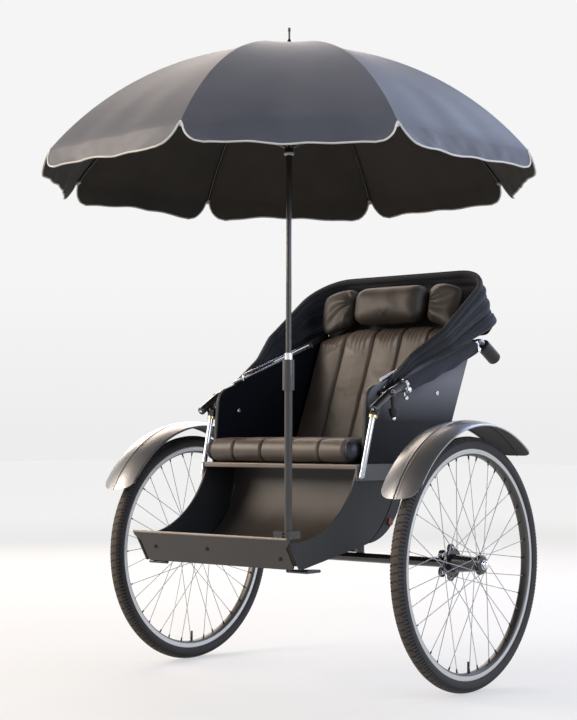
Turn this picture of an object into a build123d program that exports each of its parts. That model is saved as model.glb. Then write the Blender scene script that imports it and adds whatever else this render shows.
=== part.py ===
from build123d import *
from math import atan2, cos, degrees, radians, sin, sqrt, tan
import os

# Passenger carriage of a cycle rickshaw: two wire wheels on a tube axle, a sheet-metal
# footwell and tray, a leather seat, a folding hood on three bows and a telescoping parasol.
# Millimetres. +Z is up, the carriage faces -Y, and its left wheel is on the +X side.
# Heights are written above the ground and lengths behind the axle; the last step moves
# everything so that the middle of the kingpin socket is the origin.

# ---- Driving sizes ------------------------------------------------------------------------

# Wheels
WHEEL_DIAMETER = 710.0          # over the tyre
TYRE_SECTION = 44.0             # width of the tyre
TRACK = 1050.0                  # between the wheels' middle planes
RIM_WIDTH = 30.0
RIM_DEPTH = 20.0
RIM_IN_TYRE = 9.0               # how far the rim reaches into the tyre
SPOKES_PER_FLANGE = 18
SPOKE_DIAMETER = 2.2
SPOKE_LACING = 60.0             # degrees from a spoke's rim end to its hub end
SPOKE_STANDOFF = 1.6            # from a flange's face to the spoke that leaves over it
NIPPLE_OFFSET = 3.0             # rim ends stand this far to their own flange's side
INNER_FLANGE = (-50.0, 42.0)    # place along the axle, radius
OUTER_FLANGE = (40.0, 28.0)
FLANGE_THICKNESS = 4.0
SPOKE_CIRCLE_EDGE = 4.0         # from the spoke holes to the flange's edge
HUB_END = (-62.0, 52.0)         # inner and outer end of the hub body
BARREL_RADII = (26.0, 19.0)     # at the inner and the outer flange
SPIDER_LOBES = 5
SPIDER_RADIUS = 54.5
SPIDER_LOBE_RADIUS = 15.0
SPIDER_THICKNESS = 6.0
SPIDER_HOLE_RADIUS = 5.0
AXLE_STUB_RADIUS = 7.5
HUB_RUNNING_FIT = 0.05
AXLE_NUT_RADIUS = 11.0
AXLE_NUT_LENGTH = 10.0
WHEEL_END_PLAY = 0.5            # between a hub's ends and what stands beside them

# Chassis
AXLE_RADIUS = 14.0
SPINE_WIDTH = 44.0
SPINE_HEIGHT = 25.0
SPINE_FRONT = -235.0
PIVOT_BEHIND_AXLE = 165.0
PIVOT_BORE_RADIUS = 14.0
PIVOT_WALL = 6.0
PIVOT_LENGTH = 110.0
HANGER_RADIUS = 12.5
HANGER_OFFSET = 150.0

# Body shell
BODY_HALF_WIDTH = 288.0         # outside of the side plates
PLATE = 6.0                     # side plates and side panels
SHEET = 3.0                     # footwell sheet
TRAY_TOP = (-503.0, 437.0)      # front tray's upper edge: behind axle, height
TRAY_BOTTOM = (-452.0, 352.0)
TRAY_EAR = 13.0                 # height of the upper edge's full width
TRAY_INSET = 17.0               # how much narrower each side is below the ears
TRAY_CORNER = 10.0
TRAY_THICKNESS = 4.0
TRAY_LIP = 12.0
SCOOP_TOP = -197.0              # front end of the side plates' upper edge
SCOOP_FRONT_MIDDLE = (-272.0, 500.0)
SCOOP_LOWER_BEND = (-150.0, 407.0)
SCOOP_REAR_MIDDLE = (-72.0, 470.0)
SCOOP_REAR_TOP = (-25.0, 545.0)
FLOOR_FRONT = (-454.0, 366.0)
FLOOR_BEND = (-205.0, 405.0)
FLOOR_RISE_MIDDLE = (-112.0, 484.0)
FLOOR_TOP = -72.0               # where the floor's rise meets the seat board
SEAT_FRONT = -203.0
SEAT_TOP = 631.0                # upper face of the seat board
SEAT_BOARD = 12.0
SEAT_RAIL = (12.0, 15.0)        # front rail's depth and height
SEAT_DEPTH = 400.0
STRAP = (5.0, 46.0)             # steel strap over the plate seam: thickness, height
STRAP_ENDS = (-205.0, 185.0)
PANEL_FRONT_FOOT = -166.0
PANEL_CORNER = (-146.0, 842.0)
PANEL_CORNER_RADIUS = 55.0
PANEL_TOP_REAR = (410.0, 1036.0)
BACK_TOP = 1118.0
BACK_BOARD = 12.0
BACK_RECLINE = 25.0             # degrees of the panels' rear edge from upright

# Seat cushions
SEAT_CUSHION_HEIGHT = 74.0
SEAT_ROLL_OVERHANG = 18.0
CUSHION_GAP = 0.3
CUSHION_SIDE_GAP = 3.0
BACKREST_THICKNESS = (38.0, 66.0)   # at its foot and at its top
BACKREST_TOP = 1068.0
HEAD_HEIGHT = 122.0
HEAD_ROLL_WIDTH = 272.0
HEAD_ROLL_DEPTH = 96.0
HEAD_WING_WIDTH = 120.0
HEAD_WING_DEPTH = 72.0

# Arm tubes, struts and hinge fittings
ARM_FROM_PANEL = 38.0           # from a side panel's outside to the arm tube's middle
ARM_RADIUS = 12.0
ARM_FRONT = (-172.0, 787.0)
ARM_REAR = (376.0, 1001.0)
ARM_BEND = 38.0
GRIP_RADIUS = 21.0
GRIP_LENGTH = 84.0
GRIP_SETBACK = 18.0             # from the arm's rear corner to the grip
GRIP_CAP = 6.0
GRIP_DROP = 30.0                # degrees below level
STRUT_RADIUS = 8.0
STRUT_FOOT = (-195.0, 594.0)
STRUT_KNEE = (-147.0, 778.0)
STRUT_KNEE_FROM_PANEL = 20.0
STRUT_HEAD = (-114.0, 822.0)
STRUT_BEND = 40.0

# Folding hood
HOOD_PIVOT = (-98.0, 832.0)
HOOD_REACH = 662.0
HOOD_ANGLES = (26.0, 31.0, 36.0)    # rear, middle and front bow above level
HOOD_NAMES = ("rear", "middle", "front")
BOW_FOOT_FROM_PANEL = 9.5       # from a side panel's outside to a bow's middle at its foot
BOW_FROM_PANEL = 50.0           # and where it passes over the arm tubes
BOW_RADIUS = 4.5
BOW_CORNER = 125.0
BOW_START = 165.0               # places along a bow, out from the pivots
BOW_SPLAY_START = 195.0
BOW_SPLAY_END = 325.0
LINK_THICKNESS = 3.5
LINK_WIDTH = 16.0
LINK_GAP = 0.8
LINK_FROM_PANEL = 2.5
PIN_RADIUS = 5.0
PIN_FIT = 0.05
FOLD_START = 205.0
FOLD_THICKNESS = 8.0
FOLD_CLEARANCE = 5.0            # from a fold's lower edge to the bow or arm tube below it

# Fenders
FENDER_RADIUS = 388.0           # at the fender's edges
FENDER_CROWN = 13.0
FENDER_WIDTH = 126.0
FENDER_SHEET = 3.0
FENDER_FRONT = 150.0            # degrees round the wheel from straight back
FENDER_REAR = 53.0
STAY_RADIUS = 6.0

# Parasol
POLE_FROM_SIDE = 28.0           # in from the tray's left end
POLE_BEHIND = -465.0
POLE_FOOT_BELOW_LIP = 20.0
LOWER_TUBE_RADIUS = 10.5
UPPER_TUBE_RADIUS = 7.5
TELESCOPE_FIT = 0.05
SLEEVE_RADIUS = 15.8
SLEEVE_BOTTOM = 832.0
SLEEVE_LENGTH = 82.0
COLLAR_RADIUS = 11.0
COLLAR_LENGTH = 18.0
UPPER_TUBE_FOOT = 560.0
RUNNER_HEIGHT = 1487.0
CANOPY_RIBS = 8
CANOPY_TIP_RADIUS = 655.0
CANOPY_TIP_HEIGHT = 1436.0
CANOPY_TOP = 1765.0
CANOPY_MIDDLE_SHARE = 0.62      # of the radius, at the arc's third point
CANOPY_MIDDLE_HEIGHT = 1645.0
CANOPY_SHEET = 3.0
CANOPY_HEADING = 39.6           # degrees that a panel's middle is turned from +X
VALANCE_DROP = 56.0
VALANCE_FLARE = 20.0            # degrees outward from hanging straight
VALANCE_CORNER = 30.0
VALANCE_GAP = 9.0
CROWN_BELOW_TOP = 8.0
CROWN_HEIGHT = 24.0
CROWN_RADIUS = 16.0
RUNNER_RADIUS = 11.5
RIB_RADIUS = 3.0
RIB_CLEARANCE = 1.5
STRETCHER_SHARE = 0.52          # how far out along the rib a stretcher joins it
FINIAL_TOP = 1812.0
FINIAL_RADIUS = 3.0

# ---- Sizes that follow --------------------------------------------------------------------

AXLE_HEIGHT = WHEEL_DIAMETER / 2
TYRE_CIRCLE = AXLE_HEIGHT - TYRE_SECTION / 2
RIM_OUTER = AXLE_HEIGHT - TYRE_SECTION + RIM_IN_TYRE
RIM_INNER = RIM_OUTER - RIM_DEPTH
BODY_INSIDE = BODY_HALF_WIDTH - PLATE
SPINE_BOTTOM = AXLE_HEIGHT + AXLE_RADIUS
PIVOT_HEIGHT = SPINE_BOTTOM + SPINE_HEIGHT / 2
TRAY_HEIGHT = sqrt((TRAY_TOP[1] - TRAY_BOTTOM[1]) ** 2 + (TRAY_BOTTOM[0] - TRAY_TOP[0]) ** 2)
TRAY_DEPTH = TRAY_THICKNESS * TRAY_HEIGHT / (TRAY_TOP[1] - TRAY_BOTTOM[1])
PLATE_SEAM = SEAT_TOP - SEAT_RAIL[1]
SCOOP_TOP_FRONT = (SCOOP_TOP, PLATE_SEAM)
ARM_OFFSET = BODY_HALF_WIDTH + ARM_FROM_PANEL
BOW_FOOT = BODY_HALF_WIDTH + BOW_FOOT_FROM_PANEL
BOW_OFFSET = BODY_HALF_WIDTH + BOW_FROM_PANEL
POLE = (BODY_HALF_WIDTH - POLE_FROM_SIDE, POLE_BEHIND)
HALF_PANEL = 180 / CANOPY_RIBS
RECLINE = tan(radians(BACK_RECLINE))
HUB_INNER_FACE = TRACK / 2 + HUB_END[0] - SPIDER_THICKNESS
HUB_OUTER_FACE = TRACK / 2 + HUB_END[1]

parts = {}


def back_line(height):
    """How far behind the axle the panels' rear edge is at a height."""
    return PANEL_TOP_REAR[0] - (PANEL_TOP_REAR[1] - height) * RECLINE


def cylinder_between(start, end, radius):
    """A round bar from one point to another."""
    start, end = Vector(*start), Vector(*end)
    seat = Plane(origin=start, z_dir=end - start)
    return seat * Cylinder(radius, (end - start).length, align=(Align.CENTER, Align.CENTER, Align.MIN))


def bent_tube(points, radius, bend):
    """A round tube along straight runs with a bend at each inner point."""
    path = FilletPolyline(*points, radius=bend)
    section = Plane(origin=path @ 0, z_dir=path % 0) * Circle(radius)
    return sweep(section, path=path)


def side_plate(edges, inside, thickness):
    """A flat plate in the side view (behind axle, height), standing at x = inside."""
    return extrude(Plane.YZ.offset(inside) * make_face(edges), thickness)


def both_sides(piece):
    """The piece and its twin on the other side of the carriage, as one node."""
    return Compound(children=[*piece.solids(), *mirror(piece, about=Plane.YZ).solids()])


def left_and_right(name, piece):
    parts[name + "_left"] = piece
    parts[name + "_right"] = mirror(piece, about=Plane.YZ)


# ---- Wheels -------------------------------------------------------------------------------


def wheel_ring(section):
    """Turn a section, drawn as (across the wheel, radius), about the wheel's axle."""
    return revolve(Plane.XZ * section, Axis.X)


def tyre():
    section = Pos(0, TYRE_CIRCLE) * Circle(TYRE_SECTION / 2)
    bead = Pos(0, RIM_OUTER - RIM_DEPTH) * Rectangle(RIM_WIDTH, 2 * RIM_DEPTH)
    return wheel_ring(section - bead)


def rim():
    section = Pos(0, (RIM_OUTER + RIM_INNER) / 2) * Rectangle(RIM_WIDTH, RIM_DEPTH)
    inner_corners = section.vertices().group_by(Axis.Y)[0]
    section = fillet(inner_corners, RIM_DEPTH / 3)
    return wheel_ring(section)


def spokes():
    """Laced wire spokes: each flange's spokes leave it by turns forwards and backwards."""
    pieces = []
    pitch = 360 / SPOKES_PER_FLANGE
    for side, (place, flange_radius) in enumerate((INNER_FLANGE, OUTER_FLANGE)):
        head_radius = flange_radius - SPOKE_CIRCLE_EDGE
        rim_place = NIPPLE_OFFSET if place > 0 else -NIPPLE_OFFSET
        for number in range(SPOKES_PER_FLANGE):
            turn = 1 if number % 2 == 0 else -1
            rim_angle = radians(pitch * (number + side / 2))
            hub_angle = rim_angle + turn * radians(SPOKE_LACING)
            face = place + turn * (FLANGE_THICKNESS / 2 + SPOKE_DIAMETER / 2 + SPOKE_STANDOFF)
            head = (face, head_radius * cos(hub_angle), head_radius * sin(hub_angle))
            nipple = (rim_place, RIM_INNER * cos(rim_angle), RIM_INNER * sin(rim_angle))
            elbow = (place - turn * FLANGE_THICKNESS / 2, head[1], head[2])
            wire = cylinder_between(head, nipple, SPOKE_DIAMETER / 2)
            pieces.append(wire + cylinder_between(elbow, head, SPOKE_DIAMETER / 2))
    return Compound(children=pieces)


def hub():
    """Tapered barrel with two spoke flanges and a lobed spider on its inner end."""
    inner, outer = HUB_END
    flange = FLANGE_THICKNESS / 2
    outline = Polyline(
        (inner, 0),
        (inner, BARREL_RADII[0] - 2),
        (INNER_FLANGE[0] - flange, BARREL_RADII[0] - 2),
        (INNER_FLANGE[0] - flange, INNER_FLANGE[1]),
        (INNER_FLANGE[0] + flange, INNER_FLANGE[1]),
        (INNER_FLANGE[0] + flange, BARREL_RADII[0]),
        (OUTER_FLANGE[0] - flange, BARREL_RADII[1]),
        (OUTER_FLANGE[0] - flange, OUTER_FLANGE[1]),
        (OUTER_FLANGE[0] + flange, OUTER_FLANGE[1]),
        (OUTER_FLANGE[0] + flange, BARREL_RADII[1]),
        (outer, BARREL_RADII[1] - 3),
        (outer, 0),
        close=True,
    )
    body = wheel_ring(make_face(outline))
    spider_seat = Plane.YZ.offset(inner - SPIDER_THICKNESS)
    lobe_circle = SPIDER_RADIUS - SPIDER_LOBE_RADIUS
    spider = Circle(BARREL_RADII[0])
    for place in PolarLocations(lobe_circle, SPIDER_LOBES):
        lobe = place * Circle(SPIDER_LOBE_RADIUS)
        arm = Rot(0, 0, place.orientation.Z) * Pos(lobe_circle / 2, 0) * Rectangle(lobe_circle, SPIDER_LOBE_RADIUS)
        spider = spider + lobe + arm
    for place in PolarLocations(lobe_circle, SPIDER_LOBES):
        spider = spider - place * Circle(SPIDER_HOLE_RADIUS)
    body = body + extrude(spider_seat * spider, SPIDER_THICKNESS)
    bore_length = outer - inner + SPIDER_THICKNESS
    bore = Cylinder(AXLE_STUB_RADIUS + HUB_RUNNING_FIT, 2 * bore_length, rotation=(0, 90, 0))
    return body - bore


def wheels():
    for name, build in (("tyre", tyre), ("rim", rim), ("spokes", spokes), ("hub", hub)):
        left_and_right(name, Pos(TRACK / 2, 0, AXLE_HEIGHT) * build())


# ---- Chassis ------------------------------------------------------------------------------


def axle_beam():
    """Tube axle with a turned stub and a nut at each end."""
    shoulder = HUB_INNER_FACE - WHEEL_END_PLAY
    nut_start = HUB_OUTER_FACE + WHEEL_END_PLAY
    beam = Cylinder(AXLE_RADIUS, 2 * shoulder, rotation=(0, 90, 0))
    stub = Cylinder(AXLE_STUB_RADIUS, 2 * (nut_start + AXLE_NUT_LENGTH), rotation=(0, 90, 0))
    nut = Pos(nut_start, 0, 0) * extrude(Plane.YZ * RegularPolygon(AXLE_NUT_RADIUS, 6), AXLE_NUT_LENGTH)
    return Pos(0, 0, AXLE_HEIGHT) * (beam + stub + nut + mirror(nut, about=Plane.YZ))


def spine():
    """Box tube from under the footwell, over the axle, to the kingpin socket."""
    rear = PIVOT_BEHIND_AXLE - PIVOT_BORE_RADIUS - PIVOT_WALL
    length = rear - SPINE_FRONT
    box = Box(SPINE_WIDTH, length, SPINE_HEIGHT, align=(Align.CENTER, Align.MIN, Align.MIN))
    return Pos(0, SPINE_FRONT, SPINE_BOTTOM) * box


def pivot_socket():
    tube = Cylinder(PIVOT_BORE_RADIUS + PIVOT_WALL, PIVOT_LENGTH)
    tube = tube - Cylinder(PIVOT_BORE_RADIUS, PIVOT_LENGTH)
    return Pos(0, PIVOT_BEHIND_AXLE, PIVOT_HEIGHT) * tube


def seat_hangers():
    """Two upright tubes that carry the seat on the axle."""
    top = SEAT_TOP - SEAT_BOARD
    foot = AXLE_HEIGHT + AXLE_RADIUS
    post = cylinder_between((HANGER_OFFSET, 0, foot), (HANGER_OFFSET, 0, top), HANGER_RADIUS)
    return both_sides(post)



# ---- Footwell and tray --------------------------------------------------------------------


def scoop_plate():
    """Side of the footwell: hollow front edge, straight sill, rounded heel."""
    drop = 8.0
    lean = (TRAY_BOTTOM[0] - TRAY_TOP[0]) / (TRAY_TOP[1] - TRAY_BOTTOM[1])
    tray_top_inside = (TRAY_TOP[0] + TRAY_DEPTH + drop * lean, TRAY_TOP[1] - drop)
    sill_front = (TRAY_BOTTOM[0] + TRAY_DEPTH, TRAY_BOTTOM[1])
    edges = [
        ThreePointArc(SCOOP_TOP_FRONT, SCOOP_FRONT_MIDDLE, tray_top_inside),
        Line(tray_top_inside, sill_front),
        Line(sill_front, SCOOP_LOWER_BEND),
        ThreePointArc(SCOOP_LOWER_BEND, SCOOP_REAR_MIDDLE, SCOOP_REAR_TOP),
        Line(SCOOP_REAR_TOP, (SCOOP_REAR_TOP[0], SCOOP_TOP_FRONT[1])),
        Line((SCOOP_REAR_TOP[0], SCOOP_TOP_FRONT[1]), SCOOP_TOP_FRONT),
    ]
    return side_plate(edges, BODY_INSIDE, PLATE)


def footwell_sheet():
    """One curved sheet: level floor behind the tray that sweeps up to the seat."""
    rise_top = (FLOOR_TOP, SEAT_TOP - SEAT_BOARD - CUSHION_GAP)
    path = Line(FLOOR_FRONT, FLOOR_BEND) + ThreePointArc(FLOOR_BEND, FLOOR_RISE_MIDDLE, rise_top)
    lower = offset(path, SHEET, side=Side.RIGHT)
    width = 2 * (BODY_INSIDE - CUSHION_GAP)
    return extrude(Plane.YZ.offset(-width / 2) * make_face(lower.edges()), width)


def heel_rails():
    """Curved flat bar behind each scoop plate, from the sill up to the seat strap."""
    seam = 3.0
    width = 40.0
    head = PLATE_SEAM - CUSHION_GAP
    foot = (SCOOP_LOWER_BEND[0] + 2 * seam, SCOOP_LOWER_BEND[1] + seam / 2)
    middle = (SCOOP_REAR_MIDDLE[0] + seam, SCOOP_REAR_MIDDLE[1] - seam)
    top = (SCOOP_REAR_TOP[0] + seam, SCOOP_REAR_TOP[1])
    edges = [
        ThreePointArc(foot, middle, top),
        Line(top, (top[0], head)),
        Line((top[0], head), (top[0] + width, head)),
        Line((top[0] + width, head), (top[0] + width, top[1])),
        ThreePointArc((top[0] + width, top[1]), (middle[0] + 0.8 * width, middle[1] - 0.35 * width), foot),
    ]
    return both_sides(side_plate(edges, BODY_INSIDE, PLATE))


def reflectors():
    """Round red reflector on the outside of each heel rail."""
    disc = Cylinder(11, 6, rotation=(0, 90, 0), align=(Align.CENTER, Align.CENTER, Align.MIN))
    return both_sides(Pos(BODY_HALF_WIDTH, SCOOP_REAR_MIDDLE[0] + 27, SCOOP_REAR_MIDDLE[1] - 5) * disc)


def front_tray():
    """Leaning front panel of the footwell with a folded upper lip and an ear at each end."""
    rise = Vector(0, TRAY_TOP[0] - TRAY_BOTTOM[0], TRAY_TOP[1] - TRAY_BOTTOM[1])
    top, bottom = BODY_HALF_WIDTH, BODY_HALF_WIDTH - TRAY_INSET
    lean = Plane(origin=(0, *TRAY_TOP), x_dir=(1, 0, 0), z_dir=Vector(1, 0, 0).cross(rise))
    height = TRAY_HEIGHT
    right_edge = [(top, 0), (top, -TRAY_EAR), (bottom, -TRAY_EAR - TRAY_INSET), (bottom, -height)]
    left_edge = [(-across, down) for across, down in reversed(right_edge)]
    panel = make_face(Polyline(*right_edge, *left_edge, close=True))
    panel = fillet(panel.vertices().group_by(Axis.Y)[0], TRAY_CORNER)
    panel = split(extrude(lean * panel, -TRAY_THICKNESS), bisect_by=Plane.XY.offset(TRAY_TOP[1]), keep=Keep.BOTTOM)
    lip = Box(2 * top, TRAY_LIP, TRAY_THICKNESS / 2, align=(Align.CENTER, Align.MIN, Align.MAX))
    return panel + Pos(0, *TRAY_TOP) * lip


def stirrups():
    """Bent rod loops under the floor's front corners."""
    rod = 4.5
    height = TRAY_BOTTOM[1] - 6
    loop = [(225, -425, height), (292, -425, height), (292, -372, height), (225, -425, height)]
    sides = [cylinder_between(a, b, rod) for a, b in zip(loop, loop[1:])]
    corners = [Pos(*point) * Sphere(rod) for point in loop[:3]]
    ear = cylinder_between((235, -425, height), (235, -425, FLOOR_FRONT[1] + CUSHION_GAP), rod)
    piece = sides[0] + sides[1] + sides[2] + corners[0] + corners[1] + corners[2] + ear
    return both_sides(piece)


# ---- Seat box, side panels and back -------------------------------------------------------


def seat_base():
    """Seat board with the round-edged front rail that carries the cushion's front."""
    rail_depth, rail_height = SEAT_RAIL
    board_front = SEAT_FRONT + rail_depth
    board = Box(2 * BODY_INSIDE, SEAT_DEPTH, SEAT_BOARD, align=(Align.CENTER, Align.MIN, Align.MAX))
    rail = Box(2 * BODY_HALF_WIDTH, rail_depth, rail_height, align=(Align.CENTER, Align.MIN, Align.MAX))
    rail = fillet(rail.edges().filter_by(Axis.X).group_by(Axis.Y)[0], rail_depth / 3)
    return Pos(0, board_front, SEAT_TOP) * board + Pos(0, SEAT_FRONT, SEAT_TOP) * rail


def seat_straps():
    thickness, height = STRAP
    length = STRAP_ENDS[1] - STRAP_ENDS[0]
    strap = Box(thickness, length, height, align=(Align.MIN, Align.MIN, Align.MAX))
    return both_sides(Pos(BODY_HALF_WIDTH, STRAP_ENDS[0], SEAT_TOP) * strap)


def side_panel():
    """Side of the seat: upright front edge, round shoulder, top rising to the back."""
    foot = PLATE_SEAM
    outline = Polyline(
        (PANEL_FRONT_FOOT, foot),
        PANEL_CORNER,
        PANEL_TOP_REAR,
        (back_line(foot), foot),
        close=True,
    )
    face = make_face(outline)
    shoulder = face.vertices().sort_by_distance((*PANEL_CORNER, 0))[0]
    face = fillet(shoulder, PANEL_CORNER_RADIUS)
    return extrude(Plane.YZ.offset(BODY_INSIDE) * face, PLATE)


def panel_rail():
    """Chrome tube along each side panel's upper edge."""
    radius = 5.0
    rise = (PANEL_TOP_REAR[1] - PANEL_CORNER[1]) / (PANEL_TOP_REAR[0] - PANEL_CORNER[0])
    ends = []
    for behind in (PANEL_CORNER[0] + PANEL_CORNER_RADIUS + 12, PANEL_TOP_REAR[0] - 110):
        height = PANEL_CORNER[1] + (behind - PANEL_CORNER[0]) * rise + radius + 0.6
        ends.append((BODY_INSIDE + 1, behind, height))
    return both_sides(cylinder_between(*ends, radius))


def back_board():
    foot = SEAT_TOP + CUSHION_GAP
    edges = Polyline(
        (back_line(foot), foot),
        (back_line(BACK_TOP), BACK_TOP),
        (back_line(BACK_TOP) - BACK_BOARD, BACK_TOP),
        (back_line(foot) - BACK_BOARD, foot),
        close=True,
    )
    return side_plate(edges, -BODY_INSIDE + CUSHION_GAP, 2 * (BODY_INSIDE - CUSHION_GAP))


# ---- Cushions -----------------------------------------------------------------------------


def seat_cushion():
    """Long cushion with a rolled front that hangs over the seat rail."""
    half = BODY_INSIDE - CUSHION_SIDE_GAP
    foot = SEAT_TOP + CUSHION_GAP
    top = foot + SEAT_CUSHION_HEIGHT
    front = SEAT_FRONT - SEAT_ROLL_OVERHANG
    radius = SEAT_CUSHION_HEIGHT / 2
    rear = back_line(foot) - BACK_BOARD - BACKREST_THICKNESS[0] - 8
    edges = [
        Line((front + radius, foot), (rear, foot)),
        Line((rear, foot), (rear, top - 12)),
        Line((rear, top - 12), (front + radius, top)),
        ThreePointArc((front + radius, top), (front, foot + radius), (front + radius, foot)),
    ]
    return side_plate(edges, -half, 2 * half)


def backrest_cushion():
    """Wedge cushion that lies on the back board, thicker at the shoulders."""
    half = BODY_INSIDE - CUSHION_SIDE_GAP
    foot = SEAT_TOP + 4
    board_foot = back_line(foot) - BACK_BOARD - CUSHION_GAP
    board_top = back_line(BACKREST_TOP) - BACK_BOARD - CUSHION_GAP
    outline = Polyline(
        (board_foot, foot),
        (board_top, BACKREST_TOP),
        (board_top - BACKREST_THICKNESS[1], BACKREST_TOP - 24),
        (board_foot - BACKREST_THICKNESS[0], foot),
        close=True,
    )
    return side_plate(outline, -half, 2 * half)


def head_cushions():
    """Middle head roll and a wing each side, strapped to the top of the back board."""
    foot = BACKREST_TOP + 3
    lean_top = foot + 0.62 * HEAD_HEIGHT
    rear = back_line(foot) - BACK_BOARD - CUSHION_GAP
    rear_top = back_line(lean_top) - BACK_BOARD - CUSHION_GAP
    pieces = []
    for shift, width, depth in (
        (0, HEAD_ROLL_WIDTH, HEAD_ROLL_DEPTH),
        (-1, HEAD_WING_WIDTH, HEAD_WING_DEPTH),
        (1, HEAD_WING_WIDTH, HEAD_WING_DEPTH),
    ):
        middle = shift * (HEAD_ROLL_WIDTH / 2 + 6 + HEAD_WING_WIDTH / 2)
        front = rear - depth
        outline = Polyline(
            (rear, foot),
            (rear_top, lean_top),
            (rear_top - 0.3 * depth, foot + HEAD_HEIGHT),
            (front + 0.3 * depth, foot + HEAD_HEIGHT),
            (front, foot + 0.8 * HEAD_HEIGHT),
            (front, foot),
            close=True,
        )
        pieces += side_plate(outline, middle - width / 2, width).solids()
    return Compound(children=pieces)


# ---- Arms, grips, struts and hinge fittings ------------------------------------------------


def arm_line():
    """Corners of an arm tube: front stub, hood pivot, rear corner, end inside the grip."""
    drop = radians(GRIP_DROP)
    tail = GRIP_SETBACK + GRIP_LENGTH - GRIP_CAP
    end = (ARM_REAR[0] + tail * cos(drop), ARM_REAR[1] - tail * sin(drop))
    return [(ARM_OFFSET, *corner) for corner in (ARM_FRONT, HOOD_PIVOT, ARM_REAR, end)]


def arm_tube():
    return bent_tube(arm_line(), ARM_RADIUS, ARM_BEND)


def grips():
    """Rubber sleeves, closed at the end, on the arm tubes' rear ends."""
    drop = radians(GRIP_DROP)
    along = Vector(0, cos(drop), -sin(drop))
    start = Vector(ARM_OFFSET, *ARM_REAR) + along * GRIP_SETBACK
    seat = Plane(origin=start, x_dir=(1, 0, 0), z_dir=along)
    onward = (Align.CENTER, Align.CENTER, Align.MIN)
    grip = Cylinder(GRIP_RADIUS, GRIP_LENGTH, align=onward)
    grip = fillet(grip.edges().filter_by(GeomType.CIRCLE), GRIP_RADIUS / 3)
    grip = grip - Cylinder(ARM_RADIUS, GRIP_LENGTH - GRIP_CAP, align=onward)
    return both_sides(seat * grip)


def struts():
    """Chrome struts from the seat straps up to the arm tubes."""
    foot = (BODY_HALF_WIDTH + STRAP[0] + STRUT_RADIUS, *STRUT_FOOT)
    knee = (BODY_HALF_WIDTH + STRUT_KNEE_FROM_PANEL, *STRUT_KNEE)
    strut = bent_tube([foot, knee, (ARM_OFFSET, *STRUT_HEAD)], STRUT_RADIUS, STRUT_BEND)
    bolt = cylinder_between((BODY_HALF_WIDTH + STRAP[0], *STRUT_FOOT), foot, STRUT_RADIUS / 2)
    return both_sides(strut + bolt - arm_tube())


def hinge_fittings():
    """Hood pivot pin between each side panel and its arm tube."""
    pin = cylinder_between((BODY_HALF_WIDTH, *HOOD_PIVOT), (ARM_OFFSET, *HOOD_PIVOT), PIN_RADIUS)
    return both_sides(pin - arm_tube())


# ---- Folding hood --------------------------------------------------------------------------


def hood_plane(angle):
    """Plane of a bow: its x runs across the carriage, its y outwards from the pivot."""
    along = Vector(0, cos(radians(angle)), sin(radians(angle)))
    across = Vector(1, 0, 0)
    return Plane(origin=(0, *HOOD_PIVOT), x_dir=across, z_dir=across.cross(along))


def hood_bow(number):
    angle = HOOD_ANGLES[number]
    plane = hood_plane(angle)
    leg = [
        (BOW_FOOT, BOW_START),
        (BOW_FOOT, BOW_SPLAY_START),
        (BOW_OFFSET, BOW_SPLAY_END),
        (BOW_OFFSET, HOOD_REACH),
    ]
    other_leg = [(-across, out) for across, out in reversed(leg)]
    path = plane * FilletPolyline(*leg, *other_leg, radius=BOW_CORNER)
    bow = sweep(Plane(origin=path @ 0, z_dir=path % 0) * Circle(BOW_RADIUS), path=path)
    inner = BODY_HALF_WIDTH + LINK_FROM_PANEL + number * (LINK_THICKNESS + LINK_GAP)
    link = SlotCenterToCenter(BOW_START, LINK_WIDTH)
    link = Pos(BOW_START / 2, 0) * link - Circle(PIN_RADIUS + PIN_FIT)
    link_seat = Plane(origin=(inner, *HOOD_PIVOT), x_dir=plane.y_dir, z_dir=(1, 0, 0))
    link = extrude(link_seat * link, LINK_THICKNESS)
    return bow + link + mirror(link, about=Plane.YZ)


def fold_outline(grow):
    """The U of a fold, this much outside a bow's middle line, closed in front of the pivots."""
    side, foot, reach = BOW_OFFSET + grow, BOW_FOOT + grow, HOOD_REACH + grow
    half_outline = [(foot, 0), (foot, BOW_SPLAY_START), (side, BOW_SPLAY_END), (side, reach)]
    other_half = [(-across, out) for across, out in reversed(half_outline)]
    outline = make_face(Polyline(*half_outline, *other_half, close=True))
    return fillet(outline.vertices().group_by(Axis.Y)[-1], BOW_CORNER + grow)


def hood_fold(number):
    """Folded fabric under a bow: a band round the U that thins towards the pivot."""
    plane = hood_plane(HOOD_ANGLES[number])
    half = FOLD_THICKNESS / 2
    rise = atan2(ARM_REAR[1] - HOOD_PIVOT[1], ARM_REAR[0] - HOOD_PIVOT[0])
    below = (degrees(rise), *HOOD_ANGLES)[number]
    clear = (ARM_RADIUS if number == 0 else BOW_RADIUS) + FOLD_CLEARANCE
    spread = tan(radians(HOOD_ANGLES[number] - below))
    far = 1.3 * HOOD_REACH
    under = BOW_RADIUS + CUSHION_GAP
    wall = extrude(plane * (fold_outline(half) - fold_outline(-half)), -far * spread)
    wedge = Polyline(
        (FOLD_START, -under),
        (far, -under),
        (far, clear - far * spread),
        (FOLD_START, clear - FOLD_START * spread),
        close=True,
    )
    side = Plane(origin=plane.origin, x_dir=plane.y_dir, z_dir=plane.x_dir)
    return wall & extrude(side * make_face(wedge), BOW_OFFSET + FOLD_THICKNESS, both=True)


# ---- Fenders -------------------------------------------------------------------------------


def fender_arc(radius):
    """The fender's crown as a curve over the wheel, edge to edge."""
    half = FENDER_WIDTH / 2
    return ThreePointArc((-half, radius), (0, radius + FENDER_CROWN), (half, radius))


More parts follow.
